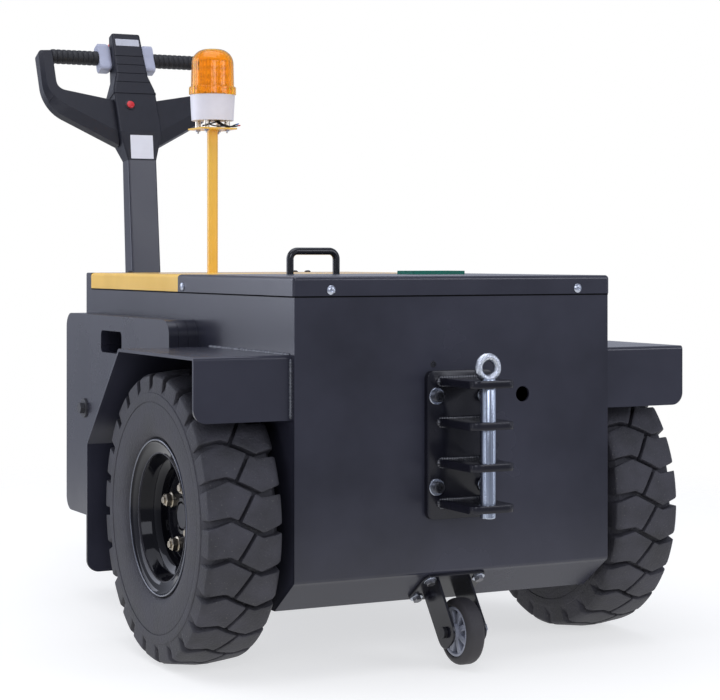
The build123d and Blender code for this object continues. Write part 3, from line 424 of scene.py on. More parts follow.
def blocks(middle):
    """Blocks of the tyre round `middle`. Rows of a block: its foot in the carcass, the upright wall, a rounded
    edge and rings that shrink to its middle. A point's radius is that of the crown there less its depth: the
    crown falls straight from near the middle and faster at the shoulder. Right-hand blocks are turned half
    round."""
    loop = rounded(block_corners, block_corner, arc=3, run=6)
    core = block_corners.mean(axis=0)
    edge = inset(loop, block_edge)
    tops = [core + share * (edge - core) for share in (1, 0.82, 0.4)]
    rings = np.stack([loop, loop, inset(loop, block_lip)] + tops)
    depth = np.array((lug_foot, block_edge, block_lip, 0, 0, 0))[:, None]
    hand = np.array((1, -1))[:, None, None, None]
    across = hand * rings[..., 0]
    along = hand * rings[..., 1]
    turn = lug_turn + along / tyre_r + 2 * pi / lugs * np.arange(lugs)[None, :, None, None]
    out = np.abs(across)
    crown = tyre_r - crown_fall * np.clip(out - crown_from, 0, None)
    crown = crown - shoulder_fall * np.clip(out - shoulder_from, 0, None)
    lean = lean_share * np.clip(out - lean_from, 0, None) / lean_run * np.clip(lean_depth - depth, 0, None)
    radius = crown - depth
    points = np.stack(np.broadcast_arrays(
        middle[0] + across - np.sign(across) * lean,
        middle[1] - radius * np.cos(turn),
        middle[2] + radius * np.sin(turn),
    ), axis=-1).reshape(-1, *rings.shape[:2], 3)
    return [shell(block) for block in points]


for side, middle in wheel_middle.items():
    piece(
        f"lugged_tyre_{side}", [around_axle(carcass, middle, count=120), *blocks(middle)], rubber,
        f"wheel_{side}", edge=30, stands_for=[f"tyre_{side}"],
    )

# Dished rims: a rolled sheet barrel and the disc in it
rim_sheet = 0.004
# Columns: place along the axle outwards from the wheel's middle, radius of the middle of the sheet
barrel_line = np.array((
    (-0.0535, 0.1225), (-0.0515, 0.1205), (-0.0500, 0.1165), (-0.0492, 0.1100), (-0.0470, 0.1045),
    (-0.0430, 0.1020), (-0.0300, 0.1005), (-0.0235, 0.0965), (-0.0205, 0.0890), (-0.0165, 0.0850),
    (0.0165, 0.0850), (0.0205, 0.0890), (0.0235, 0.0965), (0.0300, 0.1005), (0.0430, 0.1020),
    (0.0470, 0.1045), (0.0492, 0.1100), (0.0500, 0.1165), (0.0515, 0.1205), (0.0535, 0.1225),
))
way = np.gradient(barrel_line, axis=0)
to_face = unit(np.stack([-way[:, 1], way[:, 0]], axis=-1)) * rim_sheet / 2
barrel = np.concatenate([barrel_line + to_face, (barrel_line - to_face)[::-1]])
disc_ring = np.array((
    (0.0050, 0.0303), (0.0095, 0.0303), (0.0110, 0.0318), (0.0110, 0.0640), (0.0105, 0.0690), (0.0080, 0.0760),
    (0.0080, 0.0840), (0.0020, 0.0840), (0.0020, 0.0750), (0.0050, 0.0680),
))
# Rolled wire along the outer edge of the barrel; its pale bluish paint is a painted highlight on the lip
roll_out, roll_r, roll_wire = 0.0542, 0.1236, 0.0017
roll = np.linspace(0, 2 * pi, 12, endpoint=False)
roll_loop = np.column_stack([roll_out + roll_wire * np.cos(roll), roll_r + roll_wire * np.sin(roll)])
# Hub from the axle tube to a cup in the middle of the disc
hub_line = (
    (-0.0685, 0.0340), (-0.0080, 0.0340), (-0.0080, 0.0620), (0.0048, 0.0620), (0.0048, 0.0302),
    (0.0125, 0.0302), (0.0138, 0.0288), (0.0138, 0.0235), (0.0115, 0.0220), (0.0090, 0.0215), (0.0085, 0.0100),
)
for side, sx in sides.items():
    middle = wheel_middle[side]
    piece(
        f"dished_rim_{side}", [around_axle(barrel, middle, sx), around_axle(disc_ring, middle, sx)], rim_black,
        f"wheel_{side}", stands_for=[f"rim_{side}"],
    )
    piece(f"rim_lip_painted_highlight_{side}", [around_axle(roll_loop, middle, sx)], rim_lip_painted_highlight, f"wheel_{side}")
    hub = turned(hub_line, middle, (sx, 0, 0), count=64)
    piece(
        f"cupped_hub_{side}", [hub], rim_black, f"wheel_{side}", stands_for=[f"hub_{side}"],
    )

# Wheel nuts on their studs
nut_circle = 0.052
nut_flat = 0.0095
nut_start = radians(24)
washer_line = ((0, 0.0125), (0.0025, 0.0125), (0.0035, 0.0110))
nut_line = ((0.003, nut_flat), (0.0118, nut_flat), (0.0134, nut_flat * 0.84))
stud_line = ((0.012, 0.0058), (0.0158, 0.0058), (0.0166, 0.0050))
for side, sx in sides.items():
    nuts = []
    disc_face = wheel_middle[side][0] + sx * disc_ring[:, 0].max()
    for turn in nut_start + np.arange(4) * pi / 2:
        at = (disc_face, axle_y + nut_circle * np.cos(turn), tyre_r + nut_circle * np.sin(turn))
        nuts.append(turned(washer_line, at, (sx, 0, 0), count=32))
        nuts.append(turned(nut_line, at, (sx, 0, 0), count=36, flats=6))
        nuts.append(turned(stud_line, at, (sx, 0, 0), count=24))
    piece(f"wheel_nuts_{side}", nuts, nut_gold, f"wheel_{side}")

# Hitch bracket with broken edges: a back plate and four jaw plates with a hole for the pin
hitch_plate, hitch_corner = 0.010, 0.014
hitch_face = hitch_high.y - hitch_plate
hitch_middle = ((hitch_low.x + hitch_high.x) / 2, hitch_high.y, (hitch_low.z + hitch_high.z) / 2)
hitch_half = (hitch_high.x, (hitch_high.z - hitch_low.z) / 2)
broken = 0.0014
slight = broken * 0.3
plate_ring = rounded(square * hitch_half, hitch_corner, arc=10)
bracket = [slab(
    (plate_ring, plate_ring, inset(plate_ring, slight), inset(plate_ring, broken)),
    (0, hitch_plate - broken, hitch_plate - slight, hitch_plate),
    hitch_middle, (1, 0, 0), (0, 0, 1), (0, -1, 0),
)]
jaw_half, jaw_thick, jaw_reach = 0.040, 0.012, 0.115
jaw_first, jaw_step = 0.2616, 0.064
jaw_levels = jaw_first + jaw_step * np.arange(4)
jaw_root, jaw_nose = 0.0002, 0.017
pin_y, pin_r, pin_gap = tow_y - 0.094, 0.0125, 0.0005
jaw_corners = np.array((
    (-jaw_half, hitch_face - pin_y), (-jaw_half, tow_y - jaw_reach - pin_y),
    (jaw_half, tow_y - jaw_reach - pin_y), (jaw_half, hitch_face - pin_y),
))


def jaw(level):
    """Jaw plate: a closed grid from the pin hole out over the lower face, up its broken edges and back over
    the upper face. A point of the hole lies on the line from the hole's middle to its point of the outline."""
    outline = rounded(jaw_corners, (jaw_root, jaw_nose, jaw_nose, jaw_root), arc=12, run=16)
    hole = (pin_r + pin_gap) * unit(outline)
    near, nearer = inset(outline, slight), inset(outline, broken)
    rings = np.stack([hole, nearer, near, outline, outline, near, nearer, hole])
    lifts = np.array((0, 0, slight, broken, jaw_thick - broken, jaw_thick - slight, jaw_thick, jaw_thick))
    points = lifted(rings, level - jaw_thick / 2 + lifts) + (0, pin_y, 0)
    return shell(points, wrap_rows=True)


bracket += [jaw(level) for level in jaw_levels]
piece(
    "hitch_with_jaws", bracket, hitch_black, "chassis", edge=25, stands_for=["hitch_bracket"],
)

# Drop pin: a rod with a lifting eye that rests in the top jaw
pin_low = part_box("tow_pin")[0].z
jaw_top = jaw_levels[-1] + jaw_thick / 2
eye_z, eye_r, eye_wire = jaw_top + 0.0190, 0.0168, 0.0062
rod_line = (
    (pin_low, 0.0110), (pin_low + 0.0005, pin_r - 0.0008), (pin_low + 0.0014, pin_r), (jaw_top - 0.0010, pin_r),
    (jaw_top + 0.0010, pin_r - 0.0008), (jaw_top + 0.0016, pin_r - 0.003),
)
turn = np.linspace(0, 2 * pi, 72, endpoint=False)[:, None]
swell = np.linspace(0, 2 * pi, 28, endpoint=False)[None, :]
eye_ring = np.stack(np.broadcast_arrays(
    (eye_r + eye_wire * np.cos(swell)) * np.cos(turn),
    pin_y + eye_wire * np.sin(swell),
    eye_z + (eye_r + eye_wire * np.cos(swell)) * np.sin(turn),
), axis=-1)
rod = turned(rod_line, (0, pin_y, 0), (0, 0, 1), count=64)
piece("drop_pin", [rod], pin_zinc, "tow_pin", stands_for=["tow_pin"])
piece("lifting_eye", [shell(eye_ring, wrap_rows=True)], cast_zinc, "tow_pin")

# Socket screws of the hitch plate, and a threaded insert above it
screw_x, screw_levels = 0.044, (0.288, 0.431)
hitch_washer = ((0, 0.0135), (0.002, 0.0135), (0.0026, 0.0128), (0.0026, 0.006))
hitch_screw = ((0.002, 0.009), (0.0115, 0.009), (0.0127, 0.0080), (0.0127, 0.0056), (0.0080, 0.0052))
insert_line = ((0, 0.0052), (0.0006, 0.0052), (0.0012, 0.0044), (0.0012, 0.0032), (0.0002, 0.0030))
insert_z = 0.481
screws, washers = [], []
for x in (-screw_x, screw_x):
    for level in screw_levels:
        washers.append(turned(hitch_washer, (x, hitch_face, level), (0, -1, 0), count=40))
        screws.append(turned(hitch_screw, (x, hitch_face, level), (0, -1, 0), count=36))
screws.append(turned(insert_line, (-screw_x, tow_y, insert_z), (0, -1, 0), count=28))
piece("hitch_screws", screws, dull_black, "chassis")
piece("hitch_washers", washers, zinc, "chassis")

# Black strip in the gap under the covers: a painted shadow of the gap
shadow_strip_low, shadow_strip_high, shadow_strip_out, shadow_strip_depth, shadow_strip_corner = 0.5876, 0.5899, 0.0008, 0.003, 0.002
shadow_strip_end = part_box("yellow_cover")[1].y
shadow_strip_corners = (
    (-half_width - shadow_strip_out, tow_y - shadow_strip_out), (half_width + shadow_strip_out, tow_y - shadow_strip_out),
    (half_width + shadow_strip_out, shadow_strip_end), (-half_width - shadow_strip_out, shadow_strip_end),
)
shadow_strip_ring = rounded(shadow_strip_corners, shadow_strip_corner)
shadow_strip_in = inset(shadow_strip_ring, shadow_strip_depth)
shadow_strip = lifted(np.stack([shadow_strip_in, shadow_strip_ring, shadow_strip_ring, shadow_strip_in]), (shadow_strip_low, shadow_strip_low, shadow_strip_high, shadow_strip_high))
piece("lid_gap_painted_shadow", [shell(shadow_strip, wrap_rows=True)], painted_gap_shadow_black, "chassis")

# Pan-head screws of the lid skirt: two on the tow end, one on each side
lid_screw = ((0, 0.0074), (0.0012, 0.0074), (0.0030, 0.0054), (0.0036, 0.0030), (0.0022, 0.0016))
skirt_z, skirt_x, skirt_y = 0.599, 0.225, tow_y + 0.448
screws = [turned(lid_screw, (x, lid_low.y, skirt_z), (0, -1, 0), count=28) for x in (-skirt_x, skirt_x)]
for sx in (-1, 1):
    screws.append(turned(lid_screw, (sx * lid_high.x, skirt_y, skirt_z), (sx, 0, 0), count=28))
piece("lid_screws", screws, zinc, "lid")

# Fork of the roller: a plate on the bevel with two legs, and the plate's hex bolts
fork_at = np.array((0, tow_y + 0.036, 0.1255))
bevel_along = np.array((0, 0.805, -0.593))
bevel_out = np.array((0, -0.593, -0.805))
fork_plate, fork_half, fork_corner, fork_broken = 0.005, (0.056, 0.040), 0.014, 0.001
fork_ring = rounded(square * fork_half, fork_corner, arc=8)
fork = [slab(
    (fork_ring, fork_ring, inset(fork_ring, fork_broken)), (0, fork_plate - fork_broken, fork_plate),
    fork_at, sideways, bevel_along, bevel_out,
)]
leg_corners = ((-0.028, 0.0045), (0.028, 0.0045), (0.027, 0.106), (-0.027, 0.106))
leg_ring = rounded(leg_corners, (0.0005, 0.0005, 0.024, 0.024), arc=10)
leg_in, leg_thick, broken_in, broken_out = 0.0265, 0.004, 0.0004, 0.0008
for sx in (-1, 1):
    fork.append(slab(
        (inset(leg_ring, broken_in), leg_ring, leg_ring, inset(leg_ring, broken_out)),
        (0, broken_in, leg_thick - broken_out, leg_thick),
        fork_at + sx * leg_in * sideways, bevel_along, bevel_out, (sx, 0, 0),
    ))
piece("roller_fork", fork, hitch_black, "chassis", edge=25, stands_for=["roller_bracket"])
bolt_x, bolt_along = 0.044, 0.028
fork_washer = ((0, 0.0105), (0.0016, 0.0105), (0.002, 0.0100))
fork_bolt = ((0.0018, 0.0065), (0.0066, 0.0065), (0.0073, 0.0056))
bolts, washers = [], []
for x in (-bolt_x, bolt_x):
    for along in (-bolt_along, bolt_along):
        at = fork_at + bevel_along * along + bevel_out * fork_plate + x * sideways
        washers.append(turned(fork_washer, at, bevel_out, count=32))
        bolts.append(turned(fork_bolt, at, bevel_out, count=36, flats=6))
piece("roller_plate_bolts", bolts, dull_zinc, "chassis")
piece("roller_plate_washers", washers, zinc, "chassis")

# Roller: a rubber band with rounded shoulders on a spoked hub, and the nut of its axle
roller_low, roller_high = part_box("roller_tyre")
roller_middle = np.array([(roller_low[axis] + roller_high[axis]) / 2 for axis in range(3)])
roller_r = (roller_high.z - roller_low.z) / 2
# The band and the rim under it are drawn in sideways
narrow = (0.83, 1)
band_side = narrow * np.array((
    (0.0165, 0.0392), (0.0180, 0.0400), (0.0188, 0.0418), (0.0186, 0.0440), (0.0172, 0.0472), (0.0150, 0.0498),
    (0.0122, 0.0515), (0.0090, 0.0523), (0.0045, roller_r),
))
band = np.concatenate([band_side, band_side[::-1] * (-1, 1)])
hub_rim = narrow * np.array((
    (-0.0160, 0.0345), (0.0160, 0.0345), (0.0172, 0.0355), (0.0172, 0.0385), (0.0160, 0.0393),
    (-0.0160, 0.0393), (-0.0172, 0.0385), (-0.0172, 0.0355),
))
hub_boss = np.array((
    (-0.0215, 0.0054), (0.0215, 0.0054), (0.0215, 0.0120), (0.0205, 0.0130), (0.0040, 0.0140), (0.0040, 0.0350),
    (-0.0040, 0.0350), (-0.0040, 0.0140), (-0.0205, 0.0130), (-0.0215, 0.0120),
))
piece(
    "roller_band", [around_axle(band, roller_middle)], roller_rubber, "roller", stands_for=["roller_tyre"],
)
spoke_count = 8
spoke_corners = ((0.012, -0.0040), (0.036, -0.0052), (0.036, 0.0052), (0.012, 0.0040))
spoke_ring = rounded(spoke_corners, 0.001)
spoke_thin = inset(spoke_ring, 0.0012)
spoke_heights = (-0.0128, -0.0112, 0.0112, 0.0128)
hub_parts = [around_axle(loop, roller_middle, count=72) for loop in (hub_rim, hub_boss)]
for turn in 2 * pi / spoke_count * (np.arange(spoke_count) + 0.5):
    outwards = np.array((0, np.cos(turn), np.sin(turn)))
    beside = np.array((0, -np.sin(turn), np.cos(turn)))
    rings = (spoke_thin, spoke_ring, spoke_ring, spoke_thin)
    hub_parts.append(slab(rings, spoke_heights, roller_middle, outwards, beside, sideways))
piece("spoked_roller_hub", hub_parts, roller_grey, "roller", stands_for=["roller_hub"])
axle_nut = ((-0.0058, 0.0088), (0.0050, 0.0088), (0.0064, 0.0078))
axle_end = (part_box("roller_axle")[1].x, roller_middle[1], roller_middle[2])
piece("roller_nut", [turned(axle_nut, axle_end, (1, 0, 0), count=36, flats=6)], zinc, "chassis")

# Weld beads, a row of small ripples along each seam
ripple_steps, ripple_swing, bead_tip = 6, 0.16, 0.02


def weld(start, end, radius=0.0032, ripple=0.0045):
    """Tube from start to end whose radius swells and sinks once per ripple and closes at both ends."""
    start, end = np.array(start, float), np.array(end, float)
    length = np.linalg.norm(end - start)
    step = np.linspace(0, 1, max(int(length / ripple * ripple_steps), 8))
    swell = radius * (1 + ripple_swing * np.sin(2 * pi * step * length / ripple))
    swell *= np.sqrt(np.clip(np.minimum(step, 1 - step) * length / radius, bead_tip, 1))
    return tube(start + step[:, None] * (end - start), swell, count=10)


bead_y = hitch_face - 0.001
upright_bead = 0.0046
beads = []
for level in jaw_levels:
    under, over = level - jaw_thick / 2, level + jaw_thick / 2
    for z in (under, over):
        beads.append(weld((-jaw_half, bead_y, z), (jaw_half, bead_y, z)))
    for x in (-jaw_half, jaw_half):
        beads.append(weld((x, bead_y, under), (x, bead_y, over), radius=upright_bead))
piece("jaw_welds", beads, weld_black, "chassis")

# Weld seams between the fenders and the box: along the top and down the front
fender_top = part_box("fender_left")[1].z
seam_out, seam_r = 0.0008, 0.0026
top_start, top_end = tow_y + 0.018, tow_y + 0.332
front_y, front_low, front_high = tow_y + 0.012, 0.402, 0.494
seams = []
for sx in (-1, 1):
    seam_x = sx * (half_width + seam_out)
    seams.append(weld((seam_x, top_start, fender_top), (seam_x, top_end, fender_top), radius=seam_r))
    seams.append(weld((seam_x, front_y, front_low), (seam_x, front_y, front_high), radius=seam_r))
piece("fender_welds", seams, fresh_weld, "chassis")

# Beacon: hollow amber lens with a ring foot, and the fluted optic inside it
lens_low, lens_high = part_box("beacon_lens")
pole_x, pole_y = (lens_low.x + lens_high.x) / 2, (lens_low.y + lens_high.y) / 2
ring_z, dome_z = lens_low.z, lens_high.z
dome_r, dome_bend, dome_flare, lens_wall = 0.0415, 0.029, 0.001, 0.0022
# The top ends on a tiny ring and rises a little to it
tip_r, tip_rise = 0.0003, 0.0002
ring_r, ring_foot, ring_side, ring_top, ring_broken = 0.0464, 0.0008, 0.0145, 0.016, 0.0012
wall_foot = 0.017


def dome_line(less):
    """Outline of the lens from its foot to its top, drawn in by `less`: a slightly tapered wall, a quarter
    circle and a nearly flat top."""
    bend = np.linspace(0, pi / 2, 9)
    reach = dome_r - dome_bend + (dome_bend - less) * np.cos(bend)
    rise = dome_z - dome_bend + (dome_bend - less) * np.sin(bend)
    return np.concatenate([
        ((dome_r + dome_flare - less, ring_z + wall_foot),),
        np.column_stack([reach, rise]),
        ((tip_r, dome_z - less + tip_rise),),
    ])


def around_pole(loop, flutes, depth):
    """Closed loop of (radius, height) carried round the beacon's axis, with eight points to a flute. The
    flutes swing the radius by a share `depth` of it."""
    angle = np.linspace(0, 2 * pi, 8 * flutes, endpoint=False)[:, None]
    radius = loop[:, 0] * (1 + depth * np.cos(flutes * angle))
    points = np.stack(np.broadcast_arrays(
        pole_x + radius * np.cos(angle), pole_y + radius * np.sin(angle), loop[:, 1],
    ), axis=-1)
    return shell(points, wrap_rows=True)


lens_loop = np.concatenate([
    ((ring_r, ring_z + ring_foot), (ring_r, ring_z + ring_side), (ring_r - ring_broken, ring_z + ring_top)),
    dome_line(0),
    dome_line(lens_wall)[::-1],
    ((dome_r + dome_flare - lens_wall, ring_z + ring_foot),),
])
lens = around_pole(lens_loop, flutes=28, depth=0.006)
piece("domed_lens", [lens], amber, "chassis", stands_for=["beacon_lens"])
optic_r, optic_wave, optic_foot, optic_height, optic_wall = 0.0270, 0.0016, 0.003, 0.066, 0.003
level = np.linspace(0, 1, 25)
optic_side = np.column_stack([
    optic_r + optic_wave * np.sin(level * 8 * pi),
    ring_z + optic_foot + optic_height * level,
])
optic_loop = np.concatenate([optic_side, optic_side[::-1] - (optic_wall, 0)])
optic = around_pole(optic_loop, flutes=24, depth=0.04)
piece("fluted_optic", [optic], optic_amber, "chassis")

# Brass sleeves on the beacon's feet, their screw tails and the loose leads
plate_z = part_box("beacon_pole")[1].z
foot_circle = 0.031
sleeve_line = ((0, 0.0058), (0.0145, 0.0058), (0.0147, 0.005))
tail_nut = ((0.003, 0.0042), (0.0060, 0.0042), (0.0064, 0.0037))
tail_line = ((0.003, 0.0018), (0.0095, 0.0018), (0.0100, 0.0014))
sleeves, tails = [], []
for turn in radians(45) + radians(90) * np.arange(4):
    at = (pole_x + foot_circle * np.cos(turn), pole_y + foot_circle * np.sin(turn), plate_z)
    sleeves.append(turned(sleeve_line, at, (0, 0, 1), count=24))
    tails.append(turned(tail_nut, at, (0, 0, -1), count=24, flats=6))
    tails.append(turned(tail_line, at, (0, 0, -1), count=16))
piece("beacon_sleeves", sleeves, brass, "chassis")
piece("beacon_screw_tails", tails, zinc, "chassis")


def lead(knots, count=40):
    """Smooth path through the knots: each coordinate is a polynomial of the way along, fitted to the knots."""
    knots = np.array(knots, float)
    way = np.linspace(0, 1, len(knots))
    fit = np.polyfit(way, knots, len(knots) - 1)
    step = np.linspace(0, 1, count)
    return np.stack([np.polyval(fit[:, axis], step) for axis in range(3)], axis=-1)


beacon_foot = np.array((pole_x, pole_y, plate_z))
lead_r, core_r = 0.0014, 0.0013
leads = [
    lead(((-0.034, -0.030, 0.0025), (-0.022, -0.033, 0.006), (-0.004, -0.028, 0.011), (0.010, -0.016, 0.016))),
    lead(((0.004, -0.012, 0.016), (0.012, -0.030, 0.006), (0.026, -0.033, 0.0025), (0.044, -0.024, 0.005))),
    lead(((0.000, -0.010, 0.016), (0.016, -0.026, 0.003), (0.030, -0.026, 0.0035), (0.042, -0.018, 0.0075))),
    lead(((-0.006, -0.006, 0.016), (-0.014, -0.030, 0.0045), (0.006, -0.036, 0.0025), (0.022, -0.036, 0.0025))),
]
lead_tubes = [tube(beacon_foot + way, lead_r) for way in leads]
piece("beacon_leads", lead_tubes, wire_black, "chassis")
core_step = np.linspace(0, 1, 5)[:, None]
core_red = tube(beacon_foot + leads[1][-1] + core_step * (0.006, 0.002, 0.001), core_r)
core_blue = tube(beacon_foot + leads[2][-1] + core_step * (0.007, 0.001, 0.002), core_r)
piece("beacon_lead_red", [core_red], button_red, "chassis")
piece("beacon_lead_blue", [core_blue], lead_blue, "chassis")

# Tiller head, in its own frame: sideways, up along the head and back from its face
head_at = np.array((0, tow_y + 1.410, 0.929))
head_lean = radians(23.5)
head_up = np.array((0, np.sin(head_lean), np.cos(head_lean)))
head_back = np.array((0, np.cos(head_lean), -np.sin(head_lean)))

# Outline of an arm and of its face inside the bevel: sideways, up along the head, cut-back of the corner
arm_edge = np.array((
    (0.0470, -0.0209, 0.0004), (0.1860, 0.0580, 0.0240), (0.2070, 0.1000, 0.0220), (0.2070, 0.2070, 0.0110),
    (0.1750, 0.2070, 0.0015), (0.1750, 0.1110, 0.0200), (0.0470, 0.0865, 0.0004),
))
arm_face = np.array((
    (0.0470, 0.0067, 0.0004), (0.1690, 0.0750, 0.0220), (0.1975, 0.1060, 0.0200), (0.1985, 0.2035, 0.0070),
    (0.1766, 0.2050, 0.0010), (0.1766, 0.1094, 0.0206), (0.0470, 0.0848, 0.0004),
))
# Depth of the bevel at each corner, and the arm's place behind the head's face
arm_bevel = np.array((0.0120, 0.0110, 0.0080, 0.0040, 0.0018, 0.0018, 0.0018))[:, None]
arm_front, arm_depth = 0.014, 0.030
arm_bend, arm_run = 9, 8
step = np.linspace(0, 1, arm_run + 1)[None, 1:-1]
bevel_bends = np.repeat(arm_bevel, arm_bend, axis=1)
bevel_runs = (1 - step) * arm_bevel + step * np.roll(arm_bevel, -1, axis=0)
bevel_depth = np.concatenate([bevel_bends, bevel_runs], axis=1).reshape(-1)
edge_ring = rounded(arm_edge[:, :2], arm_edge[:, 2], arm_bend, arm_run)
face_ring = rounded(arm_face[:, :2], arm_face[:, 2], arm_bend, arm_run)
arms = [
    slab(
        (edge_ring, edge_ring, face_ring), (arm_depth, bevel_depth, 0),
        head_at + head_back * arm_front, sx * sideways, head_up, head_back,
    )
    for sx in (-1, 1)
]
piece("bevelled_arms", arms, plastic, "tiller", edge=20, stands_for=["tiller_arms"])

# Corrugated grips and turning knobs on one bar
grip_at = head_at + head_up * 0.198 + head_back * 0.029
knob_in, knob_out, bar_in = 0.036, 0.066, 0.1755
grip_r, ripple_r, ripples = 0.0147, 0.0018, 9
share = np.linspace(0, 1, 82)
ripple = np.sqrt(np.abs(np.sin(ripples * pi * share)))
grip_line = np.column_stack([(bar_in - knob_out) * share, grip_r + ripple_r * ripple])
grips = [turned(grip_line, grip_at + sx * knob_out * sideways, (sx, 0, 0), count=32) for sx in (-1, 1)]
piece(
    "corrugated_grips", grips, grip_rubber, "tiller", edge=60, stands_for=["tiller_grips"],
)
knob_corners = (
    (-0.0330, -0.0110), (-0.0270, -0.0145), (0, -0.0130), (0.0270, -0.0145), (0.0330, -0.0110),
    (0.0330, 0.0110), (0.0270, 0.0145), (0, 0.0130), (-0.0270, 0.0145), (-0.0330, 0.0110),
)
knob_ring = rounded(knob_corners, 0.0028, run=2)
knob_rings = [knob_ring * shrink for shrink in (0.70, 0.84, 0.94, 1, 1, 0.975, 0.93)]
knob_heights = (0, 0.0012, 0.0045, 0.0095, 0.0275, 0.0292, 0.0300)
knob_neck = ((-0.006, 0.009), (0.004, 0.009))
knobs = []
for sx in (-1, 1):
    at = grip_at + sx * knob_in * sideways
    knobs.append(slab(knob_rings, knob_heights, at, head_up, head_back, sx * sideways))
    knobs.append(turned(knob_neck, at, (sx, 0, 0), count=28))
piece("turning_knobs", knobs, knob_grey, "tiller", edge=40, stands_for=["throttle_knobs"])

# Red push button in its bezel
button_at = head_at + head_up * 0.067 - 0.016 * sideways
bezel_line = ((-0.001, 0.0118), (0.0012, 0.0118), (0.0018, 0.0108), (0.0018, 0.0092))
button_line = ((0.001, 0.0088), (0.0036, 0.0086), (0.0046, 0.0074), (0.0050, 0.0040))
piece("button_bezel", [turned(bezel_line, button_at, -head_back)], black_screw, "tiller")
piece("push_button", [turned(button_line, button_at, -head_back)], button_red, "tiller")

# Blank labels on the collar, which leans less than the head, and on the cap
label_corner, label_heights = 0.0012, (-0.0004, 0.0004)
collar_up = unit(np.array((0, 0.0078, 0.0631)))
collar_out = np.cross(sideways, collar_up)
collar_half, collar_down = 0.0265, 0.0335
cap_half, cap_up = (0.0280, 0.0085), 0.2265
collar_ring = rounded(square * collar_half, label_corner)
collar_middle = head_at - collar_up * collar_down
collar_label = slab((collar_ring, collar_ring), label_heights, collar_middle, sideways, collar_up, collar_out)
piece("blank_collar_label", [collar_label], label_white, "tiller")
cap_ring = rounded(square * cap_half, label_corner)
cap_middle = head_at + head_up * cap_up
cap_label = slab((cap_ring, cap_ring), label_heights, cap_middle, sideways, head_up, -head_back)
piece("blank_cap_label", [cap_label], label_grey, "tiller")

# Dome screws on the flange of the tiller end
flange_y, flange_z = tow_y + 0.941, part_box("tiller_end_wall")[1].z
dome_screw = ((0, 0.0065), (0.0010, 0.0065), (0.0028, 0.0045), (0.0034, 0.0020))
screws = [turned(dome_screw, (x, flange_y, flange_z), (0, 0, 1), count=28) for x in (-0.2, 0.157, 0.186)]
piece("flange_screws", screws, black_screw, "chassis")

# Camera where the photograph was taken, level, with its frame shifted down
camera = bpy.data.objects.new("camera", bpy.data.cameras.new("camera"))
bpy.context.scene.collection.objects.link(camera)
camera.location = (-1.5582, tow_y - 2.7086, 0.6474)
camera.rotation_euler = (pi / 2, 0, radians(-27.07))
camera.data.sensor_width = 36.0
camera.data.lens = 98.3
camera.data.shift_y = -0.127
bpy.context.scene.camera = camera

# Soft studio light


def softbox(name, place, target, size, power, tint):
    """Rectangular area lamp at `place` that faces `target`."""
    lamp = bpy.data.lights.new(name, "AREA")
    lamp.shape = "RECTANGLE"
    lamp.size, lamp.size_y = size
    lamp.energy = power
    lamp.color = tint
    made = bpy.data.objects.new(name, lamp)
    made.location = place
    made.rotation_euler = (Vector(target) - Vector(place)).to_track_quat("-Z", "Y").to_euler()
    bpy.context.scene.collection.objects.link(made)


cool = (0.87, 0.895, 1.0)
cooler = (0.82, 0.86, 1.0)
softbox("overhead_light", (-0.4, -0.4, 3.4), (0, 0, 0.3), (3.0, 3.0), 55, cool)
softbox("left_light", (-2.8, 2.4, 1.5), (0, 0, 0.4), (2.6, 2.2), 46, cooler)
softbox("tow_light", (-1.6, -4.6, 2.2), (0, 0, 0.4), (2.0, 1.8), 40, cool)
softbox("left_strip", (-2.6, -1.7, 0.65), (0, -0.75, 0.4), (0.22, 1.25), 2.6, cool)
softbox("right_strip", (2.6, -2.3, 0.75), (0, -0.75, 0.5), (0.22, 1.45), 3.4, cool)
softbox("right_light", (2.7, -4.2, 2.2), (0, 0.4, 0.8), (2.2, 1.6), 39, cool)

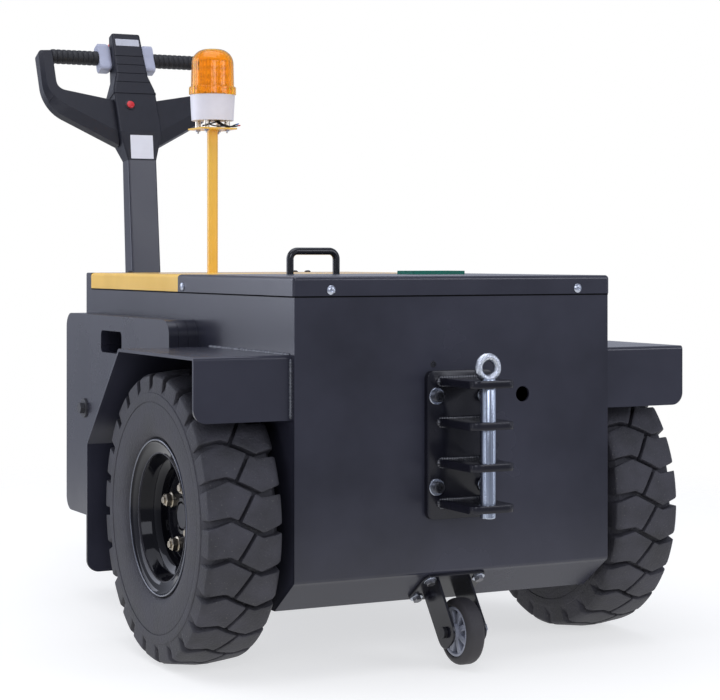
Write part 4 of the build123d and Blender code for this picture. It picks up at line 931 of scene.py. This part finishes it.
# White where the camera sees it, also through the lens; for all other rays cool and dimmer on the tow side
dim_y, bright_y = -0.75, 0.35
dim, bright = 0.4, 0.6
world = bpy.data.worlds.new("studio")
bpy.context.scene.world = world
world.use_nodes = True
tree = world.node_tree
backdrop = tree.nodes["Background"]
backdrop.inputs["Color"].default_value = (1, 1, 1, 1)
surround = tree.nodes.new("ShaderNodeBackground")
surround.inputs["Color"].default_value = (0.8, 0.845, 1, 1)
split = tree.nodes.new("ShaderNodeSeparateXYZ")
tree.links.new(tree.nodes.new("ShaderNodeTexCoord").outputs["Generated"], split.inputs["Vector"])
strength = mapped(tree, split.outputs["Y"], dim_y, bright_y, dim, bright, smooth=True)
tree.links.new(strength, surround.inputs["Strength"])
rays = tree.nodes.new("ShaderNodeLightPath")
seen = tree.nodes.new("ShaderNodeMath")
seen.operation = "MAXIMUM"
tree.links.new(rays.outputs["Is Camera Ray"], seen.inputs[0])
tree.links.new(rays.outputs["Is Transmission Ray"], seen.inputs[1])
choice = tree.nodes.new("ShaderNodeMixShader")
tree.links.new(seen.outputs["Value"], choice.inputs["Fac"])
tree.links.new(surround.outputs["Background"], choice.inputs[1])
tree.links.new(backdrop.outputs["Background"], choice.inputs[2])
tree.links.new(choice.outputs["Shader"], tree.nodes["World Output"].inputs["Surface"])

# Pale floor that keeps a soft shadow near the object and fades into the backdrop further out
floor_half = 6.0
fade_start, fade_end = 1.3, 2.6
floor_mesh = bpy.data.meshes.new("studio_floor")
floor_corners = floor_half * np.column_stack([square, np.zeros(4)])
floor_mesh.from_pydata(floor_corners, [], [(0, 1, 2, 3)])
floor = bpy.data.objects.new("studio_floor", floor_mesh)
bpy.context.scene.collection.objects.link(floor)
floor_look = finish("pale_floor", (0.47, 0.455, 0.41), 0.9, grain=2, change=0.01)
tree = floor_look.node_tree
shader = tree.nodes["Principled BSDF"]
shader.inputs["Emission Color"].default_value = (0.97, 0.98, 1, 1)
shader.inputs["Emission Strength"].default_value = 0.64
distance = tree.nodes.new("ShaderNodeVectorMath")
distance.operation = "LENGTH"
tree.links.new(tree.nodes.new("ShaderNodeTexCoord").outputs["Object"], distance.inputs[0])
fade = mapped(tree, distance.outputs["Value"], fade_start, fade_end, 1.0, 0.0, smooth=True)
tree.links.new(fade, shader.inputs["Alpha"])
floor_mesh.materials.append(floor_look)

bpy.context.scene.view_settings.view_transform = "Standard"
